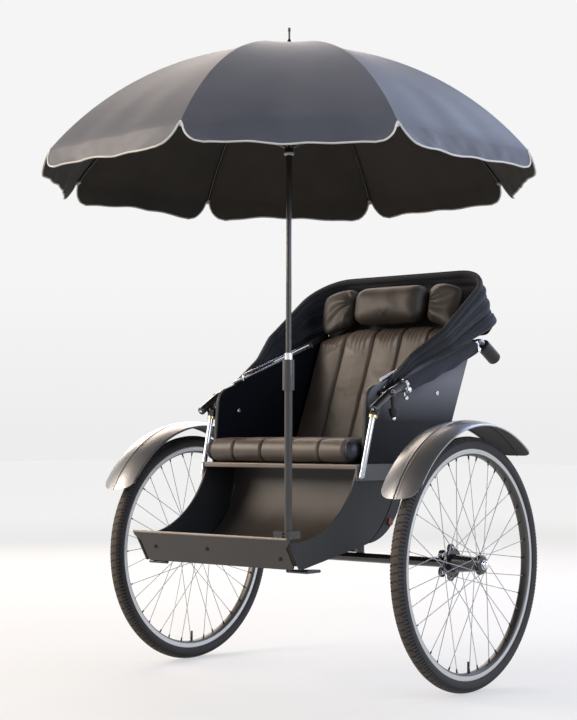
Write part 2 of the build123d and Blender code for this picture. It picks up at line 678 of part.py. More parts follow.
def fender_band(inner, outer, start, end):
    """The ring between two crowned radii, from one angle round the wheel to another."""
    under, over = fender_arc(inner), fender_arc(outer)
    section = make_face([under, over, Line(under @ 0, over @ 0), Line(under @ 1, over @ 1)])
    band = revolve(Plane.XZ * section, Axis.X, end - start)
    return Pos(TRACK / 2, 0, AXLE_HEIGHT) * Rot(start - 90, 0, 0) * band


def fender():
    return fender_band(FENDER_RADIUS - FENDER_SHEET, FENDER_RADIUS, FENDER_REAR, FENDER_FRONT)


def fender_stays():
    """Two bars a side: one up from the seat strap, one out from the side panel."""
    beyond = fender_band(FENDER_RADIUS - FENDER_SHEET, FENDER_RADIUS + 60, 20, 160)
    edge = TRACK / 2 - FENDER_WIDTH / 2 + STAY_RADIUS + 8
    strap_face = BODY_HALF_WIDTH + STRAP[0]
    pieces = []
    for behind, foot, face in (
        (20.0, SEAT_TOP - STRAP[1] / 2, strap_face),
        (190.0, 690.0, BODY_HALF_WIDTH),
    ):
        head = AXLE_HEIGHT + sqrt(FENDER_RADIUS ** 2 - behind ** 2) + STAY_RADIUS
        bar = cylinder_between((face - STAY_RADIUS, behind, foot), (edge, behind, head), STAY_RADIUS)
        bar = split(bar, bisect_by=Plane.YZ.offset(face)) - beyond
        pieces.append(bar.solids().sort_by(Axis.X)[0])
    return both_sides(Compound(children=pieces))


# ---- Parasol -------------------------------------------------------------------------------


def pole_foot():
    """Clamp block on the tray's lip that grips the pole at the corner."""
    width, depth, height = 52.0, 58.0, 20.0
    front = TRAY_TOP[0] + 3
    block = Box(width, depth, height, align=(Align.CENTER, Align.MIN, Align.MIN))
    block = fillet(block.edges().filter_by(Axis.Z), 6)
    bore = Cylinder(LOWER_TUBE_RADIUS, 3 * height)
    return Pos(POLE[0], front, TRAY_TOP[1]) * block - Pos(*POLE, TRAY_TOP[1]) * bore


def lower_tube():
    """Fixed tube with the sleeve that the upper tube slides in."""
    foot = TRAY_TOP[1] - POLE_FOOT_BELOW_LIP
    top = SLEEVE_BOTTOM + SLEEVE_LENGTH
    bore_foot = UPPER_TUBE_FOOT - 1
    onward = (Align.CENTER, Align.CENTER, Align.MIN)
    tube = Pos(*POLE, foot) * Cylinder(LOWER_TUBE_RADIUS, top - foot, align=onward)
    sleeve = Pos(*POLE, SLEEVE_BOTTOM) * Cylinder(SLEEVE_RADIUS, SLEEVE_LENGTH, align=onward)
    bore = Cylinder(UPPER_TUBE_RADIUS + TELESCOPE_FIT, top - bore_foot, align=onward)
    return tube + sleeve - Pos(*POLE, bore_foot) * bore


def pole_collar():
    top = SLEEVE_BOTTOM + SLEEVE_LENGTH
    ring = Cylinder(COLLAR_RADIUS, COLLAR_LENGTH, align=(Align.CENTER, Align.CENTER, Align.MIN))
    bore = Cylinder(UPPER_TUBE_RADIUS + TELESCOPE_FIT, 3 * COLLAR_LENGTH)
    return Pos(*POLE, top) * (ring - bore)


def upper_tube():
    """Sliding tube with the thin finial that stands out of the canopy's top."""
    onward = (Align.CENTER, Align.CENTER, Align.MIN)
    top = CANOPY_TOP - CROWN_BELOW_TOP
    tube = Cylinder(UPPER_TUBE_RADIUS, top - UPPER_TUBE_FOOT, align=onward)
    finial = Cylinder(FINIAL_RADIUS, FINIAL_TOP - top, align=onward)
    return Pos(*POLE, UPPER_TUBE_FOOT) * tube + Pos(*POLE, top) * finial


def dome_arc(reach, inset):
    """A curve from the parasol's top to its hem, drawn as (radius, height)."""
    return ThreePointArc(
        (0, CANOPY_TOP - inset),
        (reach * CANOPY_MIDDLE_SHARE - 0.45 * inset, CANOPY_MIDDLE_HEIGHT - 0.9 * inset),
        (reach - inset, CANOPY_TIP_HEIGHT),
    )


def canopy_panel():
    """One curved panel with its hanging valance, its middle along +X."""
    apothem = CANOPY_TIP_RADIUS * cos(radians(HALF_PANEL))
    reach = CANOPY_TIP_RADIUS * sin(radians(HALF_PANEL))
    over, under = dome_arc(apothem, 0), dome_arc(apothem, CANOPY_SHEET)
    section = make_face([over, under, Line(over @ 0, under @ 0), Line(over @ 1, under @ 1)])
    vault = extrude(Plane.XZ * section, reach, both=True)
    wedge = make_face(Polyline((0, 0), (apothem, reach), (apothem, -reach), close=True))
    panel = vault & extrude(wedge, CANOPY_TOP)
    drop = Rectangle(2 * reach - VALANCE_GAP, VALANCE_DROP, align=(Align.CENTER, Align.MAX))
    drop = fillet(drop.vertices().group_by(Axis.Y)[0], VALANCE_CORNER)
    outward = (cos(radians(VALANCE_FLARE)), 0, sin(radians(VALANCE_FLARE)))
    seat = Plane(origin=(apothem - CANOPY_SHEET, 0, CANOPY_TIP_HEIGHT), x_dir=(0, 1, 0), z_dir=outward)
    return panel + extrude(seat * drop, CANOPY_SHEET)


def canopy():
    panel = canopy_panel()
    turns = [number * 360 / CANOPY_RIBS for number in range(CANOPY_RIBS)]
    whole = panel.fuse(*[Rot(0, 0, turn) * panel for turn in turns[1:]])
    hole = Pos(0, 0, CANOPY_TOP) * Cylinder(FINIAL_RADIUS + CUSHION_GAP, 40)
    return Pos(*POLE, 0) * Rot(0, 0, CANOPY_HEADING) * (whole - hole)


def parasol_ribs():
    """Eight curved ribs from the crown to the tips, each with its stretcher."""
    path = Plane.XZ * dome_arc(CANOPY_TIP_RADIUS, CANOPY_SHEET + RIB_RADIUS + RIB_CLEARANCE)
    rib = sweep(Plane(origin=path @ 0, z_dir=path % 0) * Circle(RIB_RADIUS), path=path)
    stretcher = cylinder_between((10, 0, RUNNER_HEIGHT), path @ STRETCHER_SHARE, 0.8 * RIB_RADIUS)
    crown_foot = CANOPY_TOP - CROWN_BELOW_TOP - CROWN_HEIGHT
    onward = (Align.CENTER, Align.CENTER, Align.MIN)
    crown = Pos(0, 0, crown_foot) * Cylinder(CROWN_RADIUS, CROWN_HEIGHT, align=onward)
    runner = Pos(0, 0, RUNNER_HEIGHT - CROWN_HEIGHT / 2) * Cylinder(RUNNER_RADIUS, CROWN_HEIGHT, align=onward)
    pieces = [crown, runner]
    for number in range(CANOPY_RIBS):
        turn = Rot(0, 0, HALF_PANEL + number * 360 / CANOPY_RIBS)
        pieces += [turn * rib, turn * stretcher]
    whole = pieces[0].fuse(*pieces[1:])
    bore = Cylinder(UPPER_TUBE_RADIUS, CANOPY_TOP - RUNNER_HEIGHT + CROWN_HEIGHT, align=onward)
    whole = whole - Pos(0, 0, RUNNER_HEIGHT - CROWN_HEIGHT) * bore
    return Pos(*POLE, 0) * Rot(0, 0, CANOPY_HEADING) * whole


# ---- The nodes -----------------------------------------------------------------------------

wheels()
parts["axle_beam"] = axle_beam()
parts["spine"] = spine()
parts["pivot_socket"] = pivot_socket()
parts["seat_hangers"] = seat_hangers()
left_and_right("scoop_plate", scoop_plate())
parts["footwell_sheet"] = footwell_sheet()
parts["heel_rails"] = heel_rails()
parts["reflectors"] = reflectors()
parts["front_tray"] = front_tray()
parts["stirrups"] = stirrups()
parts["seat_base"] = seat_base()
parts["seat_straps"] = seat_straps()
left_and_right("side_panel", side_panel())
parts["panel_rails"] = panel_rail()
parts["back_board"] = back_board()
parts["seat_cushion"] = seat_cushion()
parts["backrest_cushion"] = backrest_cushion()
parts["head_cushions"] = head_cushions()
left_and_right("arm_tube", arm_tube())
parts["grips"] = grips()
parts["struts"] = struts()
parts["hinge_fittings"] = hinge_fittings()
for number, name in enumerate(HOOD_NAMES):
    parts["hood_bow_" + name] = hood_bow(number)
    parts["hood_fold_" + name] = hood_fold(number)
left_and_right("fender", fender())
parts["fender_stays"] = fender_stays()
parts["pole_foot"] = pole_foot()
parts["lower_tube"] = lower_tube()
parts["pole_collar"] = pole_collar()
parts["upper_tube"] = upper_tube()
parts["parasol_canopy"] = canopy()
parts["parasol_ribs"] = parasol_ribs()

os.makedirs("parts", exist_ok=True)
to_origin = Pos(0, -PIVOT_BEHIND_AXLE, -PIVOT_HEIGHT)
for name, piece in parts.items():
    export_step(to_origin * piece, f"parts/{name}.step")
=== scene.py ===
import bpy
import math
from mathutils import Matrix, Vector, noise


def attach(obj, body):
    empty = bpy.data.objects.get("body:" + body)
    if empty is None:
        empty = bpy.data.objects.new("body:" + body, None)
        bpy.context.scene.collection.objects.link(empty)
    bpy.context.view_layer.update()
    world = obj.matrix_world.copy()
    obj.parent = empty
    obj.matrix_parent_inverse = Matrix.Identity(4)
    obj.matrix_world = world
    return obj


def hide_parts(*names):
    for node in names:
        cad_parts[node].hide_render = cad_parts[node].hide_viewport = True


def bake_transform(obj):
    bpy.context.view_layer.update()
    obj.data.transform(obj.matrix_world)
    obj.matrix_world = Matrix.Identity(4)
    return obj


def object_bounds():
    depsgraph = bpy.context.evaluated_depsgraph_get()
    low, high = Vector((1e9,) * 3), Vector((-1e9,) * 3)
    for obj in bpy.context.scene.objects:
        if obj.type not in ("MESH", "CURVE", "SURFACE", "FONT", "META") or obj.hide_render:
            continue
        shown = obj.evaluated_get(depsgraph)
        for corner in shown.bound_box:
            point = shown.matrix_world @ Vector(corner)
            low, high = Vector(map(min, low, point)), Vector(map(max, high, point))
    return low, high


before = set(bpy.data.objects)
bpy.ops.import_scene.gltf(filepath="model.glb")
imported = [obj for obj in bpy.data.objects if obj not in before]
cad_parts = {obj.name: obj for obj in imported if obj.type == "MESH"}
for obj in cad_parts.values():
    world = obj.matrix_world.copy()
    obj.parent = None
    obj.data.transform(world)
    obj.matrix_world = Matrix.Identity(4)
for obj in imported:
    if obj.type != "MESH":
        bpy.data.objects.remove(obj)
cad_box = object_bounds()

# ---- Studio -------------------------------------------------------------------------------
# The camera stands at the carriage's left front, 0.7 m above the ground, and looks up a
# little, so the parasol's dark lining shows under its hem.

eye = Vector((2.900, -3.823, 0.3295))
swung, raised, tilted = math.radians(39.588), math.radians(2.797), math.radians(0.120)
ahead = Vector((-math.sin(swung) * math.cos(raised), math.cos(swung) * math.cos(raised), math.sin(raised)))
aside = Vector((math.cos(swung), math.sin(swung), 0))
above = aside.cross(ahead)
right_hand = aside * math.cos(tilted) + above * math.sin(tilted)
upward = above * math.cos(tilted) - aside * math.sin(tilted)
bpy.ops.object.camera_add(location=eye)
camera = bpy.context.object
camera.matrix_world = Matrix((right_hand, upward, -ahead)).transposed().to_4x4()
camera.matrix_world.translation = eye
camera.data.lens = 77.37
camera.data.sensor_width = 36
bpy.context.scene.camera = camera


def tone(hex_colour):
    """sRGB hex to the linear colour that shaders take."""
    parts = [int(hex_colour[i:i + 2], 16) / 255 for i in (1, 3, 5)]
    return [p / 12.92 if p <= 0.04045 else ((p + 0.055) / 1.055) ** 2.4 for p in parts] + [1]


def add_node(material, kind, sockets=None, **settings):
    """Adds a shader node, sets it up, and feeds its sockets with values, nodes or nodes' outputs."""
    new = material.node_tree.nodes.new("ShaderNode" + kind)
    for name, value in settings.items():
        setattr(new, name, value)
    for key, value in (sockets or {}).items():
        if isinstance(value, bpy.types.Node):
            value = value.outputs[0]
        if isinstance(value, bpy.types.NodeSocket):
            material.node_tree.links.new(value, new.inputs[key])
        else:
            new.inputs[key].default_value = value
    return new


def new_finish(name, colour, roughness, metallic=0.0, **more):
    """A material whose shader starts from one colour, roughness and metalness."""
    material = bpy.data.materials.new(name)
    material.use_nodes = True
    shader = material.node_tree.nodes["Principled BSDF"]
    shader.inputs["Base Color"].default_value = tone(colour)
    shader.inputs["Roughness"].default_value = roughness
    shader.inputs["Metallic"].default_value = metallic
    for key, value in more.items():
        shader.inputs[key.replace("_", " ")].default_value = value
    return material


def surface(material, **links):
    """Links nodes, or nodes' outputs, to the shader's sockets."""
    shader = material.node_tree.nodes["Principled BSDF"]
    for key, value in links.items():
        output = value.outputs[0] if isinstance(value, bpy.types.Node) else value
        material.node_tree.links.new(output, shader.inputs[key.replace("_", " ")])


def graded(ramp, *stops):
    """Gives a colour ramp its stops, each a place from 0 to 1 and an sRGB colour."""
    for element, (spot, colour) in zip(ramp.color_ramp.elements, (stops[0], stops[-1])):
        element.position = spot
        element.color = tone(colour)
    for spot, colour in stops[1:-1]:
        ramp.color_ramp.elements.new(spot).color = tone(colour)
    return ramp


def in_view(material):
    """1 for what is looked at, straight or by a reflection or through a lens; 0 for stray light."""
    rays = add_node(material, "LightPath").outputs
    direct = add_node(material, "Math", {0: rays["Is Camera Ray"], 1: rays["Is Glossy Ray"]}, operation="MAXIMUM")
    return add_node(material, "Math", {0: direct, 1: rays["Is Transmission Ray"]}, operation="MAXIMUM")


bpy.ops.mesh.primitive_plane_add(size=60, location=(0, 0, cad_box[0].z))
floor = bpy.context.object
floor.name = "studio_floor"
paper = new_finish("seamless_paper", "#999998", 0.95, Emission_Color=(1, 1, 1, 1))
place = add_node(paper, "TexCoord").outputs["Object"]
away = add_node(paper, "VectorMath", {0: place}, operation="LENGTH").outputs["Value"]
paler = add_node(paper, "MapRange", {"Value": away, "From Min": 1.5, "From Max": 9.0, "To Min": 0.49, "To Max": 0.72})
surface(paper, Emission_Strength=add_node(paper, "Math", {0: in_view(paper), 1: paler}, operation="MULTIPLY"))
floor.data.materials.append(paper)

world = bpy.data.worlds.new("studio")
world.use_nodes = True
bpy.context.scene.world = world
world.node_tree.nodes.clear()
way = add_node(world, "TexCoord").outputs["Generated"]
heading = add_node(world, "SeparateXYZ", {"Vector": way})
wall = graded(add_node(world, "ValToRGB", {"Fac": heading.outputs["Z"]}),
              (0, "#EDEDED"), (0.10, "#F5F5F5"), (0.30, "#F5F5F5"), (0.62, "#34363B"))
backdrop = add_node(world, "Background", {"Color": wall})
room = add_node(world, "Background", {"Color": tone("#F0F0F0"), "Strength": 0.46})
choose = add_node(world, "MixShader", {0: in_view(world), 1: room, 2: backdrop})
add_node(world, "OutputWorld", {"Surface": choose})
bpy.context.scene.view_settings.view_transform = "Standard"

for name, place, aim, size, power, colour in (
    ("key", (-3.7, -3.9, 2.8), (0, -0.4, 0.7), 3.2, 310, "#FFEEDC"),
    ("fill", (4.6, -0.2, 2.2), (0, -0.2, 0.6), 3.2, 115, "#E2ECFF"),
    ("rim", (-3.6, 2.6, 3.0), (0, -0.5, 1.0), 3.4, 150, "#FFEBDA"),
    ("back", (0.8, 3.7, 2.9), (0.2, -0.4, 0.7), 3.4, 120, "#C8D8FF"),
):
    bpy.ops.object.light_add(type="AREA", location=place)
    lamp = bpy.context.object
    lamp.name = "lamp_" + name
    lamp.data.size = size
    lamp.data.energy = power
    lamp.data.color = tone(colour)[:3]
    lamp.rotation_euler = (Vector(aim) - Vector(place)).to_track_quat("-Z", "Y").to_euler()

# ---- Painted steel -------------------------------------------------------------------------
# The chassis, arms and hubs are steel tube and castings in black stove enamel: deep, glossy
# and a little uneven, as sprayed enamel flows before it is baked.


def paint(material, *nodes):
    """Gives CAD nodes a material."""
    for name in nodes:
        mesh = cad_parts[name].data
        mesh.materials.clear()
        mesh.materials.append(material)


def coated(name, dark, light, gloss, peel_size, peel_depth, **more):
    """Sprayed or baked finish: clouded colour, orange-peel grain and a gloss that dust dulls."""
    coat = new_finish(name, light, gloss, **more)
    place = add_node(coat, "TexCoord").outputs["Object"]
    clouds = add_node(coat, "TexNoise", {"Vector": place, "Scale": 5.0, "Detail": 6.0, "Roughness": 0.6})
    shade = graded(add_node(coat, "ValToRGB", {"Fac": clouds}), (0.32, dark), (0.68, light))
    dust = add_node(coat, "MapRange", {"Value": clouds, "To Min": gloss * 0.75, "To Max": gloss * 1.3})
    peel = add_node(coat, "TexNoise", {"Vector": place, "Scale": 1 / peel_size, "Detail": 2.0})
    grain = add_node(coat, "Bump", {"Height": peel, "Strength": 0.25, "Distance": peel_depth})
    surface(coat, Base_Color=shade, Roughness=dust, Normal=grain)
    return coat


enamel = coated("black_stove_enamel", "#131316", "#1B1B1F", 0.24, 0.006, 0.0002, Coat_Weight=0.6, Coat_Roughness=0.08)
paint(enamel, "axle_beam", "spine", "pivot_socket", "seat_hangers", "stirrups", "arm_tube_left", "arm_tube_right",
      "hood_bow_front", "hood_bow_middle", "hood_bow_rear", "fender_stays", "pole_foot", "hub_left", "hub_right",
      "parasol_ribs")

# ---- Body sheet ----------------------------------------------------------------------------
# The footwell, its side plates and the seat's side panels are folded and rolled sheet steel in
# a satin graphite powder coat. The sides' inner faces are a near-black navy.

graphite = coated("graphite_powder_coat", "#282A2D", "#343639", 0.42, 0.0014, 0.0003, Specular_IOR_Level=0.3)
paint(graphite, "scoop_plate_left", "scoop_plate_right", "heel_rails")

panel_coat = coated("panel_coat_painted_shade", "#3E4046", "#4C4E54", 0.42, 0.0014, 0.0003, Specular_IOR_Level=0.12)
spot = add_node(panel_coat, "TexCoord")
where = add_node(panel_coat, "SeparateXYZ", {"Vector": spot.outputs["Object"]})
facing = add_node(panel_coat, "SeparateXYZ", {"Vector": spot.outputs["Normal"]})
outwards = add_node(panel_coat, "Math", {0: where.outputs["X"], 1: facing.outputs["X"]}, operation="MULTIPLY")
inner = add_node(panel_coat, "Math", {0: outwards, 1: 0.05}, operation="LESS_THAN")
# The outer faces are painted darker low and lighter high, from 0.37 m to 0.50 m up: painted shade and painted
# highlight.
rise = add_node(panel_coat, "MapRange", {"Value": where.outputs["Z"], "From Min": 0.37, "From Max": 0.50})
outer = graded(add_node(panel_coat, "ValToRGB", {"Fac": rise}), (0, "#14171D"), (1, "#7E7F85"))
navy_inner_painted_shade_outer = add_node(panel_coat, "Mix", {"Factor": inner, "A": outer, "B": tone("#10121A")}, data_type="RGBA")
surface(panel_coat, Base_Color=navy_inner_painted_shade_outer.outputs["Result"])
paint(panel_coat, "side_panel_left", "side_panel_right")

tray_coat = coated("warm_grey_powder_coat", "#383431", "#433E3B", 0.38, 0.0014, 0.0003)
paint(tray_coat, "front_tray", "footwell_sheet")
rail_coat = coated("stone_grey_powder_coat", "#6A6058", "#7C7269", 0.36, 0.0014, 0.0003)
paint(rail_coat, "seat_base")
strap_coat = coated("light_grey_powder_coat", "#606166", "#6E6F74", 0.36, 0.0014, 0.0003)
paint(strap_coat, "seat_straps")
board_paint = coated("black_board_paint", "#101115", "#1A1B20", 0.6, 0.003, 0.0004)
paint(board_paint, "back_board")

# ---- Bright parts --------------------------------------------------------------------------
# The struts, panel rails and hood pins are chromed steel; the spokes are drawn stainless wire.
# The parasol's pole is a steel tube in bronze-grey lacquer, and the grips are moulded rubber.


def bright(name, colour, gloss):
    """Plated or drawn metal: handling has dulled it in patches and left hairline marks."""
    metal = new_finish(name, colour, gloss, 1.0)
    place = add_node(metal, "TexCoord").outputs["Object"]
    patches = add_node(metal, "TexNoise", {"Vector": place, "Scale": 24.0, "Detail": 5.0})
    dulled = add_node(metal, "MapRange", {"Value": patches, "From Min": 0.3, "From Max": 0.7,
                                          "To Min": gloss * 0.8, "To Max": gloss * 1.5})
    hairs = add_node(metal, "TexNoise", {"Vector": place, "Scale": 70.0, "Detail": 1.0})
    marks = add_node(metal, "Bump", {"Height": hairs, "Strength": 0.05, "Distance": 0.0003})
    surface(metal, Roughness=dulled, Normal=marks)
    return metal


chrome_plate = bright("polished_chrome_plate", "#D2D4D8", 0.24)
paint(chrome_plate, "panel_rails", "hinge_fittings", "pole_collar")
wire = bright("drawn_stainless_wire", "#A9ABAE", 0.42)
paint(wire, "spokes_left", "spokes_right")
pole_lacquer = coated("bronze_grey_lacquer", "#262422", "#302D2B", 0.30, 0.004, 0.0002, Coat_Weight=0.4)
paint(pole_lacquer, "lower_tube", "upper_tube")
grip_rubber = coated("moulded_grip_rubber", "#141416", "#1F1F22", 0.58, 0.0012, 0.0006)
paint(grip_rubber, "grips")
red_lens = new_finish("red_lens", "#8A2A1C", 0.14, Transmission_Weight=0.25)
place = add_node(red_lens, "TexCoord").outputs["Object"]
prisms = add_node(red_lens, "TexVoronoi", {"Vector": place, "Scale": 260.0}, feature="DISTANCE_TO_EDGE")
facets = add_node(red_lens, "Bump", {"Height": prisms.outputs["Distance"], "Strength": 0.8, "Distance": 0.002})
surface(red_lens, Normal=facets)
paint(red_lens, "reflectors")

# ---- Tyres ---------------------------------------------------------------------------------
# Each tyre is moulded black rubber, 44 mm wide over a 622 mm rim, with a road tread of short
# cross blocks. Brown road dust sits on the tread and in its grooves, and the sides stay darker.

wheel_middle = 0.525
axle_line = Vector((0, -0.165, -0.0265))
sides = (("left", 1), ("right", -1))


def pick(*pieces):
    """Leaves edit mode and selects only these pieces, the first of them active."""
    if bpy.context.object and bpy.context.object.mode != "OBJECT":
        bpy.ops.object.mode_set(mode="OBJECT")
    bpy.ops.object.select_all(action="DESELECT")
    for piece in pieces:
        piece.select_set(True)
        bpy.context.view_layer.objects.active = pieces[0]


def pick_faces(piece, wanted):
    """In edit mode, selects only the faces that a test wants."""
    bpy.ops.object.mode_set(mode="EDIT")
    bpy.ops.mesh.select_mode(type="FACE")
    bpy.ops.mesh.select_all(action="DESELECT")
    bpy.ops.object.mode_set(mode="OBJECT")
    for face in piece.data.polygons:
        face.select = bool(wanted(face))
    bpy.ops.object.mode_set(mode="EDIT")


def face_outwards(weld=None):
    """Turns all faces of the piece in hand outwards, after merging points that lie closer than weld."""
    bpy.ops.object.mode_set(mode="EDIT")
    bpy.ops.mesh.select_all(action="SELECT")
    if weld:
        bpy.ops.mesh.remove_doubles(threshold=weld)
    bpy.ops.mesh.normals_make_consistent(inside=False)
    bpy.ops.object.mode_set(mode="OBJECT")


def spun(outline, steps, centre, axis):
    """Spins a closed outline about an axis."""
    pick()
    bpy.ops.mesh.primitive_circle_add(vertices=len(outline), fill_type="NOTHING")
    piece = bpy.context.object
    for vertex, point in zip(piece.data.vertices, outline):
        vertex.co = point
    bpy.ops.object.mode_set(mode="EDIT")
    bpy.ops.mesh.select_all(action="SELECT")
    bpy.ops.mesh.spin(steps=steps, angle=2 * math.pi, center=centre, axis=axis)
    face_outwards(0.00003)
    return piece


def turned_ring(section, steps, middle):
    """Spins a closed section, drawn as (across the wheel, radius), about the axle."""
    outline = [(middle + across, axle_line.y, axle_line.z + radius) for across, radius in section]
    return spun(outline, steps, (middle, axle_line.y, axle_line.z), (1, 0, 0))


def joined(pieces):
    """Joins loose pieces into one mesh."""
    pick(*pieces)
    if len(pieces) > 1:
        bpy.ops.object.join()
    return pieces[0]


def smooth(piece, angle):
    pick(piece)
    bpy.ops.object.shade_smooth_by_angle(angle=math.radians(angle))


def fitted(piece, name, finishes, body="chassis", stands_for=()):
    """Settles a finished piece: its place in its mesh, its finishes, its body and its CAD nodes."""
    pick(piece)
    bpy.ops.object.transform_apply(location=True, rotation=True, scale=True)
    piece.name = name
    for finish in finishes:
        piece.data.materials.append(finish)
    if stands_for:
        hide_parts(*stands_for)
    if body:
        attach(piece, body)


moulded_rubber = new_finish("moulded_rubber", "#302F31", 0.72)
place = add_node(moulded_rubber, "TexCoord").outputs["Object"]
from_axle = add_node(moulded_rubber, "VectorMath", {0: place, 1: axle_line}, operation="SUBTRACT")
flattened = add_node(moulded_rubber, "VectorMath", {0: from_axle, 1: (0, 1, 1)}, operation="MULTIPLY")
reach = add_node(moulded_rubber, "VectorMath", {0: flattened}, operation="LENGTH").outputs["Value"]
on_tread = add_node(moulded_rubber, "MapRange", {"Value": reach, "From Min": 0.3440, "From Max": 0.3525})
patches = add_node(moulded_rubber, "TexNoise", {"Vector": place, "Scale": 45.0, "Detail": 6.0})
dusty = add_node(moulded_rubber, "Math", {0: on_tread, 1: patches}, operation="MULTIPLY")
shade = graded(add_node(moulded_rubber, "ValToRGB", {"Fac": dusty}), (0.05, "#2F2E30"), (0.62, "#544C45"))
pores = add_node(moulded_rubber, "TexNoise", {"Vector": place, "Scale": 900.0, "Detail": 2.0})
skin = add_node(moulded_rubber, "Bump", {"Height": pores, "Strength": 0.2, "Distance": 0.0004})
surface(moulded_rubber, Base_Color=shade, Normal=skin)

tread_steps, tread_depth, casing_middle = 600, 0.0026, 0.333
casing = []
for degrees, thick in ((-126, 21.4), (-112, 21.4), (-98, 21.6), (-84, 21.6), (-72, 21.2), (-64, 22), (-48, 22),
                       (-32, 22), (-16, 22), (0, 22), (16, 22), (32, 22), (48, 22), (64, 22), (72, 21.2),
                       (84, 21.6), (98, 21.6), (112, 21.4), (126, 21.4)):
    turn = math.radians(degrees)
    casing.append((0.001 * thick * math.sin(turn), casing_middle + 0.001 * thick * math.cos(turn)))
casing += [(0.0125, 0.3206), (-0.0125, 0.3206)]


def is_groove(face, middle):
    """Cross grooves: every third strip at the shoulders, staggered from side to side."""
    across = face.center.x - middle
    up, back = face.center.z - axle_line.z, face.center.y - axle_line.y
    if math.hypot(up, back) < 0.3405:
        return False
    strip = int(math.degrees(math.atan2(up, back)) % 360 * tread_steps / 360) + (across > 0)
    return strip % 3 == 0 if abs(across) > 0.009 else abs(across) > 0.003 and strip % 6 == 1


for side, hand in sides:
    tyre = turned_ring(casing, tread_steps, hand * wheel_middle)
    pick_faces(tyre, lambda face: is_groove(face, hand * wheel_middle))
    bpy.ops.mesh.extrude_region_shrink_fatten(TRANSFORM_OT_shrink_fatten={"value": -tread_depth})
    bpy.ops.object.mode_set(mode="OBJECT")
    smooth(tyre, 30)
    fitted(tyre, "treaded_tyre_" + side, [moulded_rubber], "wheel_" + side, ["tyre_" + side])

# ---- Rims ----------------------------------------------------------------------------------
# A box-section alloy rim, 30 mm wide. Its sides are polished bright as a braking track with a
# fine turned line, and the bed between them, where the nipples sit, is left dark anodised.


def patchy(material, scale, detail, low, high):
    """Lets a finish's roughness wander in patches from low to high."""
    place = add_node(material, "TexCoord").outputs["Object"]
    patches = add_node(material, "TexNoise", {"Vector": place, "Scale": scale, "Detail": detail})
    surface(material, Roughness=add_node(material, "MapRange", {"Value": patches, "To Min": low, "To Max": high}))
    return material


polished_alloy = patchy(new_finish("polished_alloy", "#C4C6C9", 0.34, 1.0), 36.0, 3.0, 0.30, 0.42)
anodised_bed = patchy(new_finish("dark_anodised_alloy", "#5A5855", 0.42, 0.7), 30.0, 2.0, 0.34, 0.5)

rim_section = [(-15.0, 321.2), (-15.2, 318.0), (-15.2, 313.6), (-14.8, 313.1), (-14.8, 312.5), (-15.2, 312.0),
               (-15.0, 307.5), (-13.0, 304.2), (-9.0, 301.6), (0.0, 300.2), (9.0, 301.6), (13.0, 304.2),
               (15.0, 307.5), (15.2, 312.0), (14.8, 312.5), (14.8, 313.1), (15.2, 313.6), (15.2, 318.0),
               (15.0, 321.2), (12.8, 321.4), (12.8, 316.0), (-12.8, 316.0), (-12.8, 321.4)]
for side, hand in sides:
    rim = turned_ring([(x / 1000, r / 1000) for x, r in rim_section], 180, hand * wheel_middle)
    rim.data.materials.append(polished_alloy)
    rim.data.materials.append(anodised_bed)
    for face in rim.data.polygons:
        radius = math.hypot(face.center.z - axle_line.z, face.center.y - axle_line.y)
        face.material_index = 1 if radius < 0.3062 else 0
    smooth(rim, 40)
    fitted(rim, "box_rim_" + side, [], "wheel_" + side, ["rim_" + side])

# ---- Spoke nipples and valve ---------------------------------------------------------------
# Drawn steel spokes are screwed into small blackened brass nipples that stand out of the rim's
# bed. Each nipple is a slim tapered barrel that points along its own spoke.


def stand(piece, place, direction):
    """Stands an upright piece at a place, its top pointing along a direction."""
    aim = Vector(direction).to_track_quat("Z", "Y").to_matrix().to_4x4()
    piece.data.transform(Matrix.Translation(place) @ aim)


blackened_brass = new_finish("blackened_brass", "#3B3734", 0.4, 0.8)
# The inner and outer flanges: how far across the hub, and the radius of their spoke holes
flanges = ((-0.050, 0.038), (0.040, 0.024))
spokes_a_side, lacing, bed_radius = 18, math.radians(60), 0.3005
for side, hand in sides:
    nipples = []
    for flange, (across, hole_radius) in enumerate(flanges):
        for number in range(spokes_a_side):
            turn = 1 if number % 2 == 0 else -1
            rim_angle = math.radians(360 / spokes_a_side * (number + flange / 2))
            hub_angle = rim_angle + turn * lacing
            foot = Vector((math.copysign(0.003, across), bed_radius * math.cos(rim_angle),
                           bed_radius * math.sin(rim_angle)))
            hole = Vector((across + turn * 0.0047, hole_radius * math.cos(hub_angle),
                           hole_radius * math.sin(hub_angle)))
            along = (hole - foot).normalized()
            pick()
            bpy.ops.mesh.primitive_cone_add(vertices=8, radius1=0.0030, radius2=0.0019, depth=0.013)
            nipple = bpy.context.object
            stand(nipple, foot + along * 0.0045, along)
            nipple.data.transform(Matrix.Diagonal((hand, 1, 1, 1)))
            nipple.data.transform(Matrix.Translation((hand * wheel_middle, axle_line.y, axle_line.z)))
            if hand < 0:
                nipple.data.flip_normals()
            nipples.append(nipple)
    pick()
    bpy.ops.mesh.primitive_cylinder_add(vertices=12, radius=0.0032, depth=0.034)
    valve = bpy.context.object
    valve.data.transform(Matrix.Translation((hand * wheel_middle, axle_line.y, axle_line.z - 0.287)))
    nipples.append(valve)
    nipples = joined(nipples)
    smooth(nipples, 60)
    fitted(nipples, "spoke_nipples_" + side, [blackened_brass], "wheel_" + side)

# ---- Hub ends ------------------------------------------------------------------------------
# The hub's outer end is a knurled dust cap with turned rings, closed by a chromed acorn nut on
# the axle. Five chromed bolts hold the lobed spider on its inner end.


